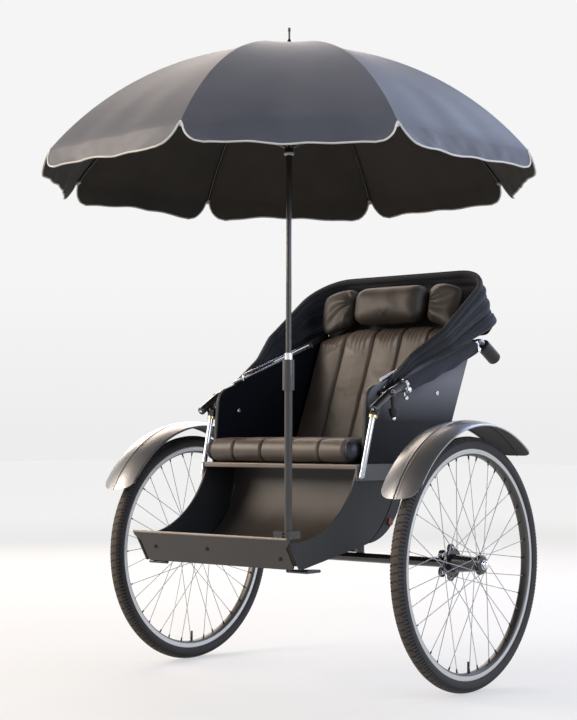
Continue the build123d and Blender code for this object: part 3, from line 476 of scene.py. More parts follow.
def button_head(place, direction, radius, height):
    """A domed bolt head with a recess, standing on a surface."""
    pick()
    bpy.ops.mesh.primitive_cylinder_add(vertices=20, radius=radius, depth=height, location=(0, 0, height / 2))
    head = bpy.context.object
    bpy.ops.object.transform_apply(location=True)
    pick_faces(head, lambda face: face.normal.z > 0.9)
    bpy.ops.mesh.bevel(offset=0.45 * height, segments=3)
    pick_faces(head, lambda face: face.normal.z > 0.99)
    bpy.ops.mesh.inset(thickness=0.3 * radius)
    bpy.ops.mesh.extrude_region_move(TRANSFORM_OT_translate={"value": (0, 0, -0.4 * height)})
    bpy.ops.object.mode_set(mode="OBJECT")
    stand(head, place, direction)
    smooth(head, 40)
    return head


chrome = patchy(new_finish("polished_chrome", "#E6E8EB", 0.08, 1.0), 24.0, 4.0, 0.04, 0.16)
cap_section = [(41.9, 8.0), (42.1, 24.5), (43.4, 26.2), (44.6, 26.2), (45.6, 24.2), (46.8, 24.2), (47.8, 25.6),
               (49.2, 25.6), (50.4, 23.6), (51.6, 19.0), (52.4, 12.5), (52.4, 8.0)]
nut_section = [(52.3, 0.5), (52.3, 13.0), (53.6, 13.2), (54.2, 11.6), (60.6, 11.6), (62.4, 9.4), (64.6, 8.2),
               (66.4, 5.4), (67.2, 2.0), (67.3, 0.5)]
for side, hand in sides:
    cap = turned_ring([(hand * x / 1000, r / 1000) for x, r in cap_section], 48, hand * wheel_middle)
    smooth(cap, 50)
    fitted(cap, "hub_cap_" + side, [enamel], "wheel_" + side)
    bolts = []
    for lobe in range(5):
        turn = math.radians(72 * lobe)
        for depth, facing in ((0.0622, hand), (0.0678, -hand)):
            seat = (hand * (wheel_middle - depth), axle_line.y + 0.0395 * math.cos(turn),
                    axle_line.z + 0.0395 * math.sin(turn))
            bolts.append(button_head(seat, (facing, 0, 0), 0.0075, 0.005))
    fitted(joined(bolts), "spider_bolts_" + side, [chrome], "wheel_" + side)
    nut = turned_ring([(hand * x / 1000, r / 1000) for x, r in nut_section], 24, hand * wheel_middle)
    smooth(nut, 30)
    fitted(nut, "acorn_nut_" + side, [chrome])

# ---- Fenders -------------------------------------------------------------------------------
# Each mudguard is one pressed steel strip with a crown, a fine groove rolled along its middle and
# hemmed edges, in satin gunmetal lacquer over metal and black underneath. Its ends are tongues.

gunmetal = patchy(new_finish("gunmetal_lacquer", "#9A9896", 0.32, 0.9, Coat_Weight=0.2, Coat_Roughness=0.2),
                  1200.0, 1.0, 0.29, 0.38)
place = add_node(gunmetal, "TexCoord").outputs["Object"]
clouds = add_node(gunmetal, "TexNoise", {"Vector": place, "Scale": 6.0, "Detail": 5.0})
shade = graded(add_node(gunmetal, "ValToRGB", {"Fac": clouds}), (0.3, "#9FA2A9"), (0.7, "#B8B7B6"))
surface(gunmetal, Base_Color=shade)


def shaped_grid(columns, rows, position):
    """A grid whose points are carried to position(column, row)."""
    pick()
    bpy.ops.mesh.primitive_grid_add(x_subdivisions=columns, y_subdivisions=rows, size=1)
    grid = bpy.context.object
    for vertex in grid.data.vertices:
        vertex.co = position(round((vertex.co.x + 0.5) * columns), round((vertex.co.y + 0.5) * rows))
    return grid


def use_modifier(piece, kind, **settings):
    """Adds a modifier and applies it."""
    pick(piece)
    modifier = piece.modifiers.new(kind.lower(), kind)
    for key, value in settings.items():
        setattr(modifier, key, value)
    bpy.ops.object.modifier_apply(modifier=modifier.name)


def backed(piece, outer, inner, thickness):
    """Thickens a sheet inwards and gives its underside a finish of its own."""
    piece.data.materials.append(outer)
    piece.data.materials.append(inner)
    use_modifier(piece, "SOLIDIFY", thickness=thickness, offset=-1, material_offset=1, material_offset_rim=0)


# Half the strip from its middle to its hem: how far across, and how far above the plain crown
half_strip = [(0.0, -1.6), (0.018, -1.4), (0.040, 0.0), (0.070, 0.5), (0.10, 0.1), (0.20, 0.0), (0.30, 0.0),
              (0.41, 0.0), (0.52, 0.0), (0.64, 0.0), (0.76, 0.0), (0.88, 0.0), (0.96, 0.3), (1.0, -0.8),
              (1.0, -3.6), (0.97, -5.0), (0.94, -4.2)]
strip = [(-across, lift) for across, lift in reversed(half_strip[1:])] + half_strip
fender_rear, fender_front, fender_rows = math.radians(48.5), math.radians(151.5), 84
fender_radius, crown_height, fender_half = 0.388, 0.0125, 0.063


def fender_point(column, row, hand):
    across, lift = strip[column]
    rounding = math.radians(8.0) * (1 - (1 - min(1, abs(across)) ** 2.6) ** 0.42)
    turn = fender_rear + rounding + (fender_front - fender_rear - 2 * rounding) * row / fender_rows
    radius = fender_radius + crown_height * (1 - min(1, abs(across)) ** 2) + 0.001 * lift
    return (hand * wheel_middle + fender_half * across, axle_line.y + radius * math.cos(turn),
            axle_line.z + radius * math.sin(turn))


for side, hand in sides:
    fender = shaped_grid(len(strip) - 1, fender_rows, lambda column, row: fender_point(column, row, hand))
    face_outwards()
    crown = min(fender.data.polygons, key=lambda face: (
        abs(face.center.y - axle_line.y) + abs(face.center.x - hand * wheel_middle)))
    if crown.normal.z < 0:
        fender.data.flip_normals()
    backed(fender, gunmetal, board_paint, 0.0016)
    smooth(fender, 50)
    fitted(fender, "beaded_fender_" + side, [], "chassis", ["fender_" + side])

# ---- Parasol canopy ------------------------------------------------------------------------
# Eight gores of slate polyester, sewn to each other over the ribs, with a hanging valance whose
# corners are cut round. The cloth is proofed darker on the inside and bound in white piping.

pole_line = Vector((0.260, -0.630, 0))
apothem = 0.6051
half_gore = math.radians(22.5)
canopy_turn = math.radians(39.6)
dome_middle, dome_radius, dome_inset = 0.5560, 0.8295, 0.0579
valance_drop, valance_flare, valance_corner = 0.053, 0.019, 0.050


def dome_height(out):
    return dome_middle + math.sqrt(dome_radius ** 2 - (out + dome_inset) ** 2)


def gore_point(across, down, gore):
    """across is -1 to 1 from rib to rib; down is 0 to 1 on the dome and 1 to 2 on the valance."""
    on_dome = min(down, 1)
    out = 0.004 + (apothem - 0.004) * on_dome
    half_width = out * math.tan(half_gore)
    slack = (1 - across ** 2) * math.sin(math.pi * on_dome ** 1.4)
    height = dome_height(out) - 0.007 * slack
    pull = max(0, on_dome - 0.72) / 0.28
    height += 0.0022 * pull * math.sin(9 * across + 2 * gore) * (1 - across ** 2)
    side = half_width * across
    if down > 1:
        share = down - 1
        drop = valance_drop * share
        to_corner = max(0, drop - (valance_drop - valance_corner))
        inset = 0.004 * min(1, share * 6) + valance_corner - math.sqrt(max(0, valance_corner ** 2 - to_corner ** 2))
        side = (half_width - inset) * across
        lift = 0.010 * abs(across) ** 3
        ripple = 0.0016 * math.sin(6.1 * across + 1.7 * gore) * (1 - across ** 4)
        wrinkle = 0.0010 * (math.sin(17 * across + 2.3 * gore + 3 * share)
                            + 0.6 * math.sin(29 * across + gore - 4 * share))
        out += share * (valance_flare + lift + ripple) + min(1, 3 * share) * wrinkle
        height -= drop + share * (0.4 * lift + 0.003 * math.cos(3.1 * across + gore))
    turn = canopy_turn + gore * 2 * half_gore
    return pole_line + Vector((out * math.cos(turn) - side * math.sin(turn),
                               out * math.sin(turn) + side * math.cos(turn), height))


def flat_map(grid, columns, rows, flat):
    """Gives a grid its cloth's flat layout, in metres, as its UV map."""
    layer = grid.data.uv_layers[0]
    for loop in grid.data.loops:
        column, row = loop.vertex_index % (columns + 1), loop.vertex_index // (columns + 1)
        layer.data[loop.index].uv = flat(column, row)


def woven_cloth(name, colour, light, thread, roughness=0.85, **more):
    """Plain-woven cloth on its flat layout: warp and weft ridges a thread's width apart."""
    cloth = new_finish(name, colour, roughness,
                       **{"Sheen_Weight": 0.08, "Sheen_Roughness": 0.6, "Specular_IOR_Level": 0.35, **more})
    places = add_node(cloth, "TexCoord").outputs
    warp, weft = [add_node(cloth, "TexWave", {"Vector": places["UV"], "Scale": 0.314 / thread, "Distortion": 0.6},
                           bands_direction=way).outputs["Fac"] for way in "XY"]
    weave = add_node(cloth, "Math", {0: warp, 1: weft}, operation="MULTIPLY")
    threads = add_node(cloth, "Bump", {"Height": weave, "Strength": 0.2, "Distance": thread / 3})
    wear = add_node(cloth, "TexNoise", {"Vector": places["Object"], "Scale": 5.0, "Detail": 6.0})
    shade = graded(add_node(cloth, "ValToRGB", {"Fac": wear}), (0.3, colour), (0.72, light))
    surface(cloth, Base_Color=shade, Normal=threads)
    return cloth


slate_polyester = woven_cloth("slate_polyester", "#4E515C", "#5E6069", 0.0009, 0.5, Specular_IOR_Level=0.55,
                              Sheen_Weight=0.3, Sheen_Roughness=0.45)
dark_proofing = woven_cloth("dark_proofed_lining", "#36322D", "#423D37", 0.0012)
gore_columns, gore_rows, hem_row = 28, 38, 30


def gore_place(column, row):
    """Where a grid's point lies on its gore, as gore_point takes it."""
    down = row / hem_row if row <= hem_row else 1 + (row - hem_row) / (gore_rows - hem_row)
    return 2 * column / gore_columns - 1, down


gores = []
for gore in range(8):
    panel = shaped_grid(gore_columns, gore_rows, lambda column, row: gore_point(*gore_place(column, row), gore))
    flat_map(panel, gore_columns, gore_rows, lambda column, row: (
        gore_place(column, row)[0] * apothem * math.tan(half_gore) * min(1, row / hem_row), 0.74 * row / gore_rows))
    gores.append(panel)
canopy = joined(gores)
face_outwards(0.0002)
if canopy.data.polygons[len(canopy.data.polygons) // 2].normal.z < 0:
    canopy.data.flip_normals()
backed(canopy, slate_polyester, dark_proofing, 0.0009)
smooth(canopy, 28)
fitted(canopy, "gored_canopy", [], "parasol", ["parasol_canopy"])

white_piping = new_finish("white_cotton_piping", "#E8E5E0", 0.8, Sheen_Weight=0.2)
place = add_node(white_piping, "TexCoord").outputs["Object"]
twist = add_node(white_piping, "TexNoise", {"Vector": place, "Scale": 420.0, "Detail": 3.0})
surface(white_piping, Normal=add_node(white_piping, "Bump", {"Height": twist, "Strength": 0.4, "Distance": 0.0006}))


def round_strand(points, radius, steps):
    """A round strand swept along points, made a mesh."""
    curve = bpy.data.curves.new("strand", "CURVE")
    curve.dimensions = "3D"
    line = curve.splines.new("POLY")
    line.points.add(len(points) - 1)
    for knot, point in zip(line.points, points):
        knot.co = (*point, 1)
    curve.bevel_depth = radius
    curve.bevel_resolution = steps
    curve.use_fill_caps = True
    strand = bpy.data.objects.new("strand", curve)
    bpy.context.scene.collection.objects.link(strand)
    pick(strand)
    bpy.ops.object.convert(target="MESH")
    smooth(bpy.context.object, 50)
    return bpy.context.object


bindings = []
for gore in range(8):
    down_left = [gore_point(-1, 1 + step / 12, gore) for step in range(13)]
    along = [gore_point(-1 + step / 14, 2, gore) for step in range(1, 28)]
    up_right = [gore_point(1, 2 - step / 12, gore) for step in range(13)]
    bindings.append(round_strand(down_left + along + up_right, 0.0024, 2))
bindings = joined(bindings)
fitted(bindings, "canopy_piping", [white_piping], "parasol")

# ---- Parasol fittings ----------------------------------------------------------------------
# Each rib ends in a small white moulded tip that holds a gore's corner. A white nylon ring sits
# on the pole under the runner, and a turned ferrule closes the cloth round the spike on top.

white_nylon = patchy(new_finish("moulded_white_nylon", "#E4E2DE", 0.4), 90.0, 2.0, 0.3, 0.5)


def turned_post(outline, centre, steps=32):
    """Spins an outline of (radius, height) about an upright line."""
    points = [(centre.x + radius, centre.y, height) for radius, height in outline]
    post = spun(points, steps, (centre.x, centre.y, 0), (0, 0, 1))
    smooth(post, 40)
    return post


tips = []
for gore in range(8):
    corner = gore_point(1, 1, gore)
    outward = (corner - pole_line - Vector((0, 0, corner.z))).normalized()
    start = corner - outward * 0.010 + Vector((0, 0, -0.0035))
    tips.append(round_strand([start, start + outward * 0.004 + Vector((0, 0, -0.001)),
                              start + outward * 0.012 + Vector((0, 0, -0.006))], 0.0044, 3))
fitted(joined(tips), "rib_tips", [white_nylon], "parasol")
ring = turned_post([(0.0079, 1.0845), (0.0125, 1.0850), (0.0138, 1.0865), (0.0138, 1.0905), (0.0125, 1.0920),
                    (0.0079, 1.0925)], pole_line)
fitted(ring, "runner_ring", [white_nylon], "parasol")
ferrule = turned_post([(0.0032, 1.3820), (0.0200, 1.3825), (0.0195, 1.3850), (0.0100, 1.3880), (0.0055, 1.3960),
                       (0.0048, 1.4010), (0.0032, 1.4020)], pole_line)
fitted(ferrule, "canopy_ferrule", [enamel], "parasol")
spike_cap = turned_post([(0.0002, 1.4340), (0.0028, 1.4330), (0.0042, 1.4300), (0.0042, 1.4240), (0.0031, 1.4225),
                         (0.0002, 1.4225)], pole_line, 16)
fitted(spike_cap, "spike_cap", [enamel], "parasol")

# ---- Hood cloth ----------------------------------------------------------------------------
# The folded hood is midnight-blue canvas with a soft black lining, sewn round three steel bows.
# Between the bows it falls in long pleats that meet at the pivots and bulge at the rear corners.

midnight_canvas = woven_cloth("midnight_canvas", "#1C1E26", "#272A35", 0.0009)
black_canvas = woven_cloth("black_canvas", "#101115", "#1A1B20", 0.0009)
hood_pivot = Vector((0, -0.263, 0.4505))
hood_half, hood_reach, hood_bend = 0.338, 0.662, 0.125


def swell(value, low, high):
    """Rises gently from 0 at low to 1 at high."""
    share = min(1, max(0, (value - low) / (high - low)))
    return share * share * (3 - 2 * share)


def bow_line(start, side_steps, bend_steps=10, back_steps=18):
    """A bow's U as (x, out from the pivot, outward normal's x and out), from its left foot round."""
    line = []
    for step in range(side_steps):
        out = start + (hood_reach - hood_bend - start) * step / side_steps
        splay = min(1, max(0, (out - 0.195) / 0.130))
        line.append((hood_half - 0.0405 * (1 - splay), out, 1, 0))
    for step in range(bend_steps):
        turn = math.pi / 2 * step / bend_steps
        line.append((hood_half - hood_bend + hood_bend * math.cos(turn),
                     hood_reach - hood_bend + hood_bend * math.sin(turn), math.cos(turn), math.sin(turn)))
    for step in range(back_steps // 2 + 1):
        line.append(((hood_half - hood_bend) * (1 - 2 * step / back_steps), hood_reach, 0, 1))
    return line + [(-x, out, -nx, nout) for x, out, nx, nout in reversed(line[:-1])]


def hood_point(place, degrees, proud):
    """A point of a bow's line, turned about the pivot and stood proud of the bow."""
    x, out, normal_x, normal_out = place
    turn = math.radians(degrees)
    out += normal_out * proud
    return Vector((x + normal_x * proud, hood_pivot.y + out * math.cos(turn), hood_pivot.z + out * math.sin(turn)))


def lowest_angle(place):
    """The rear cloth stops over the arm tubes at the sides, and hangs lower across the back."""
    over_arm = 19.6 + math.degrees(0.0215 / place[1])
    return over_arm + (17.6 - over_arm) * swell(place[3], 0.55, 1.0)


def eased(piece):
    use_modifier(piece, "SUBSURF", levels=1, render_levels=1)


def thickened(sheet):
    """Gives a sheet of cloth its thickness, eases its folds and says its area."""
    area = sum(face.area for face in sheet.data.polygons)
    face_outwards()
    use_modifier(sheet, "SOLIDIFY", thickness=0.0014, offset=0)
    eased(sheet)
    smooth(sheet, 60)
    return area


# Each stretch of cloth: bows, then its pleats as (share of the way down, how far it stands out)
hood_lines = bow_line(0.095, 30)
pleat_rows = 32
for name, upper, pleats in (
    ("front", 36.0, ((0, 0.004), (0.14, -0.003), (0.50, 0.011), (0.84, 0.007), (1, -0.005))),
    ("middle", 31.0, ((0, -0.005), (0.30, 0.009), (0.66, 0.006), (1, -0.013))),
    ("rear", 26.0, ((0, -0.013), (0.26, 0.012), (0.62, 0.017), (0.88, 0.005), (1, -0.004))),
):
    def pleat_point(column, row):
        share = row / pleat_rows
        place = hood_lines[column]
        lower = min(25.0, lowest_angle(place)) if name == "rear" else upper - 5.0
        gather = 0.5 + 0.5 * swell(place[1], 0.25, 0.60)
        moved = min(1, max(0, share + 0.05 * math.sin(math.pi * share) * math.sin(0.35 * column + 2 * len(name))))
        for (start, low), (end, high) in zip(pleats, pleats[1:]):
            if start <= moved <= end:
                proud = low + (high - low) * swell(moved, start, end)
        proud += 0.0014 * math.sin(0.6 * column + 4 * share) * swell(place[1], 0.35, 0.6) * math.sin(math.pi * share)
        sag = 0.9 * place[3] * math.sin(math.pi * share) * (1 + 0.5 * math.sin(0.5 * column))
        return hood_point(place, upper + (lower - upper) * share - sag, proud * gather)

    cloth = shaped_grid(len(hood_lines) - 1, pleat_rows, pleat_point)
    flat_map(cloth, len(hood_lines) - 1, pleat_rows, lambda column, row: (0.019 * column, 0.11 * row / pleat_rows))
    area = thickened(cloth)
    fitted(cloth, "hood_cloth_" + name, [midnight_canvas], "hood_rear" if name == "rear" else None,
           ["hood_fold_" + name])
    if name != "rear":
        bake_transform(cloth)

# The canvas is turned round the front bow and sewn into a thick hem with a welt on each side,
# and round the other two bows into slimmer sleeves.
for name, degrees, radius, start, welts in (
    ("front", 36.0, 0.0090, 0.062, (0.7, -0.7)), ("middle", 31.0, 0.0064, 0.100, ()), ("rear", 26.0, 0.0064, 0.120, ()),
):
    sleeve_line = bow_line(start, 34, 12, 10)
    strands = [round_strand([hood_point(place, degrees, 0) for place in sleeve_line], radius, 4)]
    for shift in welts:
        strands.append(round_strand([hood_point(place, degrees + shift, 0.0055) for place in sleeve_line], 0.0022, 2))
    fitted(joined(strands), "hood_sleeve_" + name, [black_canvas], "hood_" + name)

# Over each arm tube hangs a narrow canvas flap that hides the lowest pleat.
arm_start, arm_rise = Vector((0.326, -0.263, 0.4505)), Vector((0, 0.474, 0.169))
flap_profile = [(-0.0145, -0.010), (-0.0150, 0.003), (-0.0105, 0.0120), (0.0, 0.0155), (0.0100, 0.0125),
                (0.0145, 0.005), (0.0160, -0.004), (0.0162, -0.012), (0.0150, -0.019), (0.0155, -0.026)]
flap_columns, flap_rows, flap_length = 40, len(flap_profile) - 1, 0.37
for side, hand in sides:
    def flap_point(column, row):
        share = column / flap_columns
        centre = arm_start + arm_rise * (0.17 + 0.76 * share)
        across, down = flap_profile[row]
        if down < -0.006:
            down = -0.006 + (down + 0.006) * (0.9 + 0.25 * math.sin(3 * share) + 0.06 * math.sin(23 * share))
            across += 0.0022 * math.sin(17 * share + row) * (row - 5) / 4
        return Vector((hand * (centre.x + across), centre.y, centre.z + down))

    flap = shaped_grid(flap_columns, flap_rows, flap_point)
    flat_map(flap, flap_columns, flap_rows, lambda column, row: (flap_length * column / flap_columns, 0.012 * row))
    area = thickened(flap)
    fitted(flap, "arm_flap_" + side, [midnight_canvas])

# ---- Seat cushion --------------------------------------------------------------------------
# A foam pad in taupe leather whose front edge is a fat roll, quilted into five channels. The
# ends are capped in navy leather behind a piped seam. It lies loose on the seat board.


def soft_leather(name, dark, light, gloss=0.44):
    """Upholstery leather: cloudy dye, raised ridges paler from use and hollows darker as painted shade, a fine pebbled
    grain.
    """
    hide = new_finish(name, light, gloss, Coat_Weight=0.06, Coat_Roughness=0.4)
    place = add_node(hide, "TexCoord").outputs["Object"]
    dye = add_node(hide, "TexNoise", {"Vector": place, "Scale": 6.0, "Detail": 5.0})
    ridges = add_node(hide, "NewGeometry").outputs["Pointiness"]
    # Pointiness makes raised places paler, as leather scuffed by use, and hollows darker: painted shade.
    ridge_wear_and_hollow_shade = add_node(hide, "MapRange", {"Value": ridges, "From Min": 0.44, "From Max": 0.56,
                                         "To Min": -0.25, "To Max": 0.16})
    dye_wear_and_painted_shade = add_node(hide, "Math", {0: dye, 1: ridge_wear_and_hollow_shade}, operation="ADD")
    shade = graded(add_node(hide, "ValToRGB", {"Fac": dye_wear_and_painted_shade}), (0.20, dark), (0.62, light))
    dull = add_node(hide, "MapRange", {"Value": dye, "To Min": gloss - 0.08, "To Max": gloss + 0.1})
    pebbles = add_node(hide, "TexVoronoi", {"Vector": place, "Scale": 700.0}, feature="DISTANCE_TO_EDGE")
    grain = add_node(hide, "Bump", {"Height": pebbles.outputs["Distance"], "Strength": 0.35, "Distance": 0.0004})
    waves = add_node(hide, "TexNoise", {"Vector": place, "Scale": 55.0, "Detail": 5.0})
    relief = add_node(hide, "Bump", {"Height": waves, "Strength": 0.18, "Distance": 0.0015, "Normal": grain})
    surface(hide, Base_Color=shade, Roughness=dull, Normal=relief)
    return hide


taupe_leather = soft_leather("taupe_leather", "#3A3430", "#5C534C")
# A darker copy of the taupe leather for the head roll and wings: painted shade for the hood's shadow over them.
taupe_leather_painted_shade = soft_leather("taupe_leather_painted_shade", "#221E1B", "#383129", 0.54)
navy_leather = soft_leather("navy_leather", "#10121A", "#1F2330")
seam_thread = new_finish("waxed_seam_thread", "#1B1816", 0.7)
place = add_node(seam_thread, "TexCoord").outputs["Object"]
twist = add_node(seam_thread, "TexNoise", {"Vector": place, "Scale": 600.0, "Detail": 2.0})
surface(seam_thread, Normal=add_node(seam_thread, "Bump", {"Height": twist, "Strength": 0.5, "Distance": 0.0005}))


def rounded_block(half, radius, cuts):
    """A foam block about the origin with rounded edges and corners."""
    pick()
    bpy.ops.mesh.primitive_cube_add(size=2)
    block = bpy.context.object
    bpy.ops.object.mode_set(mode="EDIT")
    bpy.ops.mesh.select_all(action="SELECT")
    bpy.ops.mesh.subdivide(number_cuts=cuts)
    bpy.ops.object.mode_set(mode="OBJECT")
    for vertex in block.data.vertices:
        point = Vector(share * size for share, size in zip(vertex.co, half))
        core = Vector(max(radius - size, min(size - radius, place)) for place, size in zip(point, half))
        vertex.co = core + (point - core).normalized() * radius
    return block


def reshaped(piece, position):
    """Carries each point of a piece to its position."""
    for vertex in piece.data.vertices:
        vertex.co = position(vertex.co)


def puffed(piece, voxel, pressure, most, sewn, extra=0.0):
    """Fills the cover: the cloth swells from its seams, and no point moves further than most."""
    use_modifier(piece, "REMESH", mode="VOXEL", voxel_size=voxel, use_smooth_shade=True)
    rest = [vertex.co.copy() for vertex in piece.data.vertices]
    group = piece.vertex_groups.new(name="sewn")
    group.add([vertex.index for vertex in piece.data.vertices if sewn(vertex.co)], 1.0, "REPLACE")
    cover = piece.modifiers.new("cover", "CLOTH")
    cover.settings.use_pressure = True
    cover.settings.uniform_pressure_force = pressure
    cover.settings.effector_weights.gravity = 0
    cover.settings.vertex_group_mass = "sewn"
    cover.settings.shrink_min = -extra
    cover.settings.quality = 5
    cover.point_cache.frame_start, cover.point_cache.frame_end = 1, 20
    for frame_number in range(1, 21):
        bpy.context.scene.frame_set(frame_number)
    pick(piece)
    bpy.ops.object.modifier_apply(modifier="cover")
    bpy.context.scene.frame_set(1)
    piece.vertex_groups.clear()
    for vertex, start in zip(piece.data.vertices, rest):
        moved = vertex.co - start
        if moved.length > most:
            vertex.co = start + moved * (most / moved.length)
    use_modifier(piece, "SMOOTH", factor=0.5, iterations=7)
    eased(piece)


# How far to each side of a seam the cover is sewn down
seam_width = 0.0045


def grooved(piece, seams, depth, width, inwards):
    """Draws the cover in along its seams; inwards gives the direction at a point."""
    for vertex in piece.data.vertices:
        nearest = min(abs(vertex.co.x - seam) for seam in seams)
        if nearest < 3 * width:
            vertex.co = vertex.co + inwards(vertex.co) * depth * math.exp(-(nearest / width) ** 2)


def seam_cords(piece, seams, starts, inwards, radius, sink):
    """Threads that lie on the piece along each seam, found by looking inwards from starts."""
    cords = []
    for seam in seams:
        points = []
        for start in starts:
            origin = Vector((seam, *start))
            hit, place, normal, _ = piece.ray_cast(origin, inwards(origin))
            if hit:
                points.append(place - normal * sink)
        cords.append(round_strand(points, radius, 2))
    return joined(cords)


seat_middle, seat_half = Vector((0, -0.196, 0.2868)), Vector((0.273, 0.188, 0.0345))
# The roll's centre line, and how far back the cushion's flat part is sewn
roll_line, flat_end = seat_middle.y - seat_half.y + 0.037, seat_middle.y + 0.15


def seat_inwards(point):
    """The way from a point of the seat cushion's cover to its core."""
    core = Vector((point.x, max(roll_line, min(flat_end, point.y)), seat_middle.z))
    return (core - point).normalized()


def seat_place(point):
    """The roll's front half swells past the ends of the side panels."""
    placed = point + seat_middle
    placed.x *= 1 + 0.046 * (1 - swell(placed.y, -0.356, -0.342))
    return placed


seat_pad = rounded_block(seat_half, 0.0335, 40)
reshaped(seat_pad, seat_place)
board_top, cap_seam = 0.2500, 0.253
seat_seams = (-0.252, -0.162, -0.054, 0.054, 0.162, 0.252)
puffed(seat_pad, 0.006, 4.0, 0.006, lambda point: min(abs(point.x - seam) for seam in seat_seams) < seam_width
       or point.z < seat_middle.z - 0.030, 0.004)
grooved(seat_pad, seat_seams, 0.0055, 0.0040, seat_inwards)
for vertex in seat_pad.data.vertices:
    vertex.co.z = max(board_top, vertex.co.z)
    between = min(abs(vertex.co.x - seam) for seam in seat_seams)
    pucker = math.exp(-between / 0.018) * math.sin(vertex.co.y * 190 + vertex.co.x * 40) * 0.0008
    vertex.co += seat_inwards(vertex.co) * pucker
smooth(seat_pad, 60)
fitted(seat_pad, "seat_pad", [], "chassis", ["seat_cushion"])
seat_pad.data.materials.append(taupe_leather)
seat_pad.data.materials.append(navy_leather)
for face in seat_pad.data.polygons:
    face.material_index = 1 if abs(face.center.x) > cap_seam else 0
round_front = [(flat_end - 0.30 * step / 12, 0.42) for step in range(12)]
round_front += [(roll_line - 0.12 * math.sin(math.pi * step / 20), seat_middle.z + 0.12 * math.cos(math.pi * step / 20))
                for step in range(20)]
seams_of_seat = seam_cords(seat_pad, seat_seams[1:-1], round_front, seat_inwards, 0.0011, -0.0002)
fitted(seams_of_seat, "seat_seams", [seam_thread])
seat_piping = seam_cords(seat_pad, (-0.2525, 0.2525), round_front, seat_inwards, 0.0019, -0.0012)
fitted(seat_piping, "seat_piping", [taupe_leather])

# ---- Backrest ------------------------------------------------------------------------------
# One deep wedge of foam against the back board, its leather gathered under the head roll and
# sewn down in four upright seams. The hide has stretched and creases softly across each channel.

back_foot, back_rise = Vector((0, 0.0457, 0.2535)), Vector((0, 0.4226, 0.9063))
back_front = Vector((0, -0.9063, 0.4226))


def back_inwards(point):
    return -back_front


def back_place(point):
    """From the flat pad (across, along the back, thickness) to the reclined wedge."""
    up = (point.y + 0.236) / 0.472
    front = 0.5 + point.z / 0.066
    thick = 0.033 + 0.024 * up - 0.012 * (1 - swell(abs(point.x), 0.03, 0.20))
    along = 0.003 + 0.472 * up - 0.048 * front * up ** 5
    along -= 0.030 * swell(abs(point.x), 0.12, 0.262) * up ** 8
    return Vector((point.x, 0, 0)) + back_foot + back_rise * along + back_front * (0.0015 + thick * front * 0.94)


back_pad = rounded_block((0.273, 0.236, 0.033), 0.026, 40)
reshaped(back_pad, back_place)
back_seams = (-0.162, -0.054, 0.054, 0.162)


def back_depth(point):
    return (point - back_foot).dot(back_front)


puffed(back_pad, 0.006, 4.5, 0.010, lambda point: min(abs(point.x - seam) for seam in back_seams) < seam_width
       or back_depth(point) < 0.008 or abs(point.x) > 0.267, 0.002)
grooved(back_pad, back_seams, 0.0055, 0.0042, back_inwards)


def creases(point, seams, reach, size):
    """Soft folds that fan out from the seams, and small gathers along the upper edge."""
    nearest = min(seams, key=lambda seam: abs(point.x - seam))
    between = point.x - nearest
    along = (point - back_foot).dot(back_rise)
    slant = along + 0.55 * abs(between)
    roll = noise.noise(Vector((nearest * 9 + between * 5, slant * 15, 1.7)))
    fold = 1 - (abs(roll) / 0.35) ** 1.5 if abs(roll) < 0.35 else 0.0
    fan = math.exp(-abs(between) / reach)
    gathers = math.sin(point.x * 290 + 2.5 * math.sin(point.x * 60)) * swell(along, 0.345, 0.425)
    broad = noise.noise(Vector((point.x * 6.5 + 4, along * 9 - point.x * 5, 3.1)))
    return size * (0.8 * fold * (0.1 + fan) + 0.45 * gathers + 1.5 * broad)


for vertex in back_pad.data.vertices:
    if back_depth(vertex.co) > 0.014:
        away = min(1, min(abs(vertex.co.x - seam) for seam in back_seams) / 0.008)
        vertex.co += back_front * creases(vertex.co, back_seams, 0.035, 0.0024) * away
smooth(back_pad, 60)
fitted(back_pad, "back_pad", [taupe_leather], "chassis", ["backrest_cushion"])
up_the_back = [tuple((back_foot + back_rise * (0.02 + 0.0205 * step) + back_front * 0.16)[1:]) for step in range(20)]
seams_of_back = seam_cords(back_pad, back_seams, up_the_back, back_inwards, 0.0012, -0.0001)
fitted(seams_of_back, "back_seams", [seam_thread])

# ---- Head roll and wings -------------------------------------------------------------------
# A stuffed roll with a slack wing each side of it, strapped over the top of the back board. The
# wings hang by their inner ends, so their leather folds slantwise from the roll's corners.

roll_middle = Vector((0, 0.2030, 0.7480))


def leaning(point, middle):
    """Tips a head cushion back with the seat's recline."""
    return middle + Vector((point.x, point.y + 0.20 * point.z, point.z))


head_roll = rounded_block((0.133, 0.043, 0.060), 0.038, 22)
reshaped(head_roll, lambda point: leaning(point, roll_middle))
puffed(head_roll, 0.005, 5.0, 0.006, lambda point: point.y > 0.235, 0.0)
for vertex in head_roll.data.vertices:
    local = vertex.co - roll_middle
    dents = noise.noise(Vector((local.x * 13, local.z * 6, 5.5)))
    fold = noise.noise(Vector((local.x * 26 + local.z * 12, local.z * 5, 8.8)))
    front = swell(-local.y, -0.01, 0.03)
    vertex.co.y += 0.0040 * dents * front + 0.0012 * fold * front
smooth(head_roll, 60)
# The roll takes the darker copy of the taupe leather: painted shade.
fitted(head_roll, "head_roll", [taupe_leather_painted_shade], "chassis", ["head_cushions"])

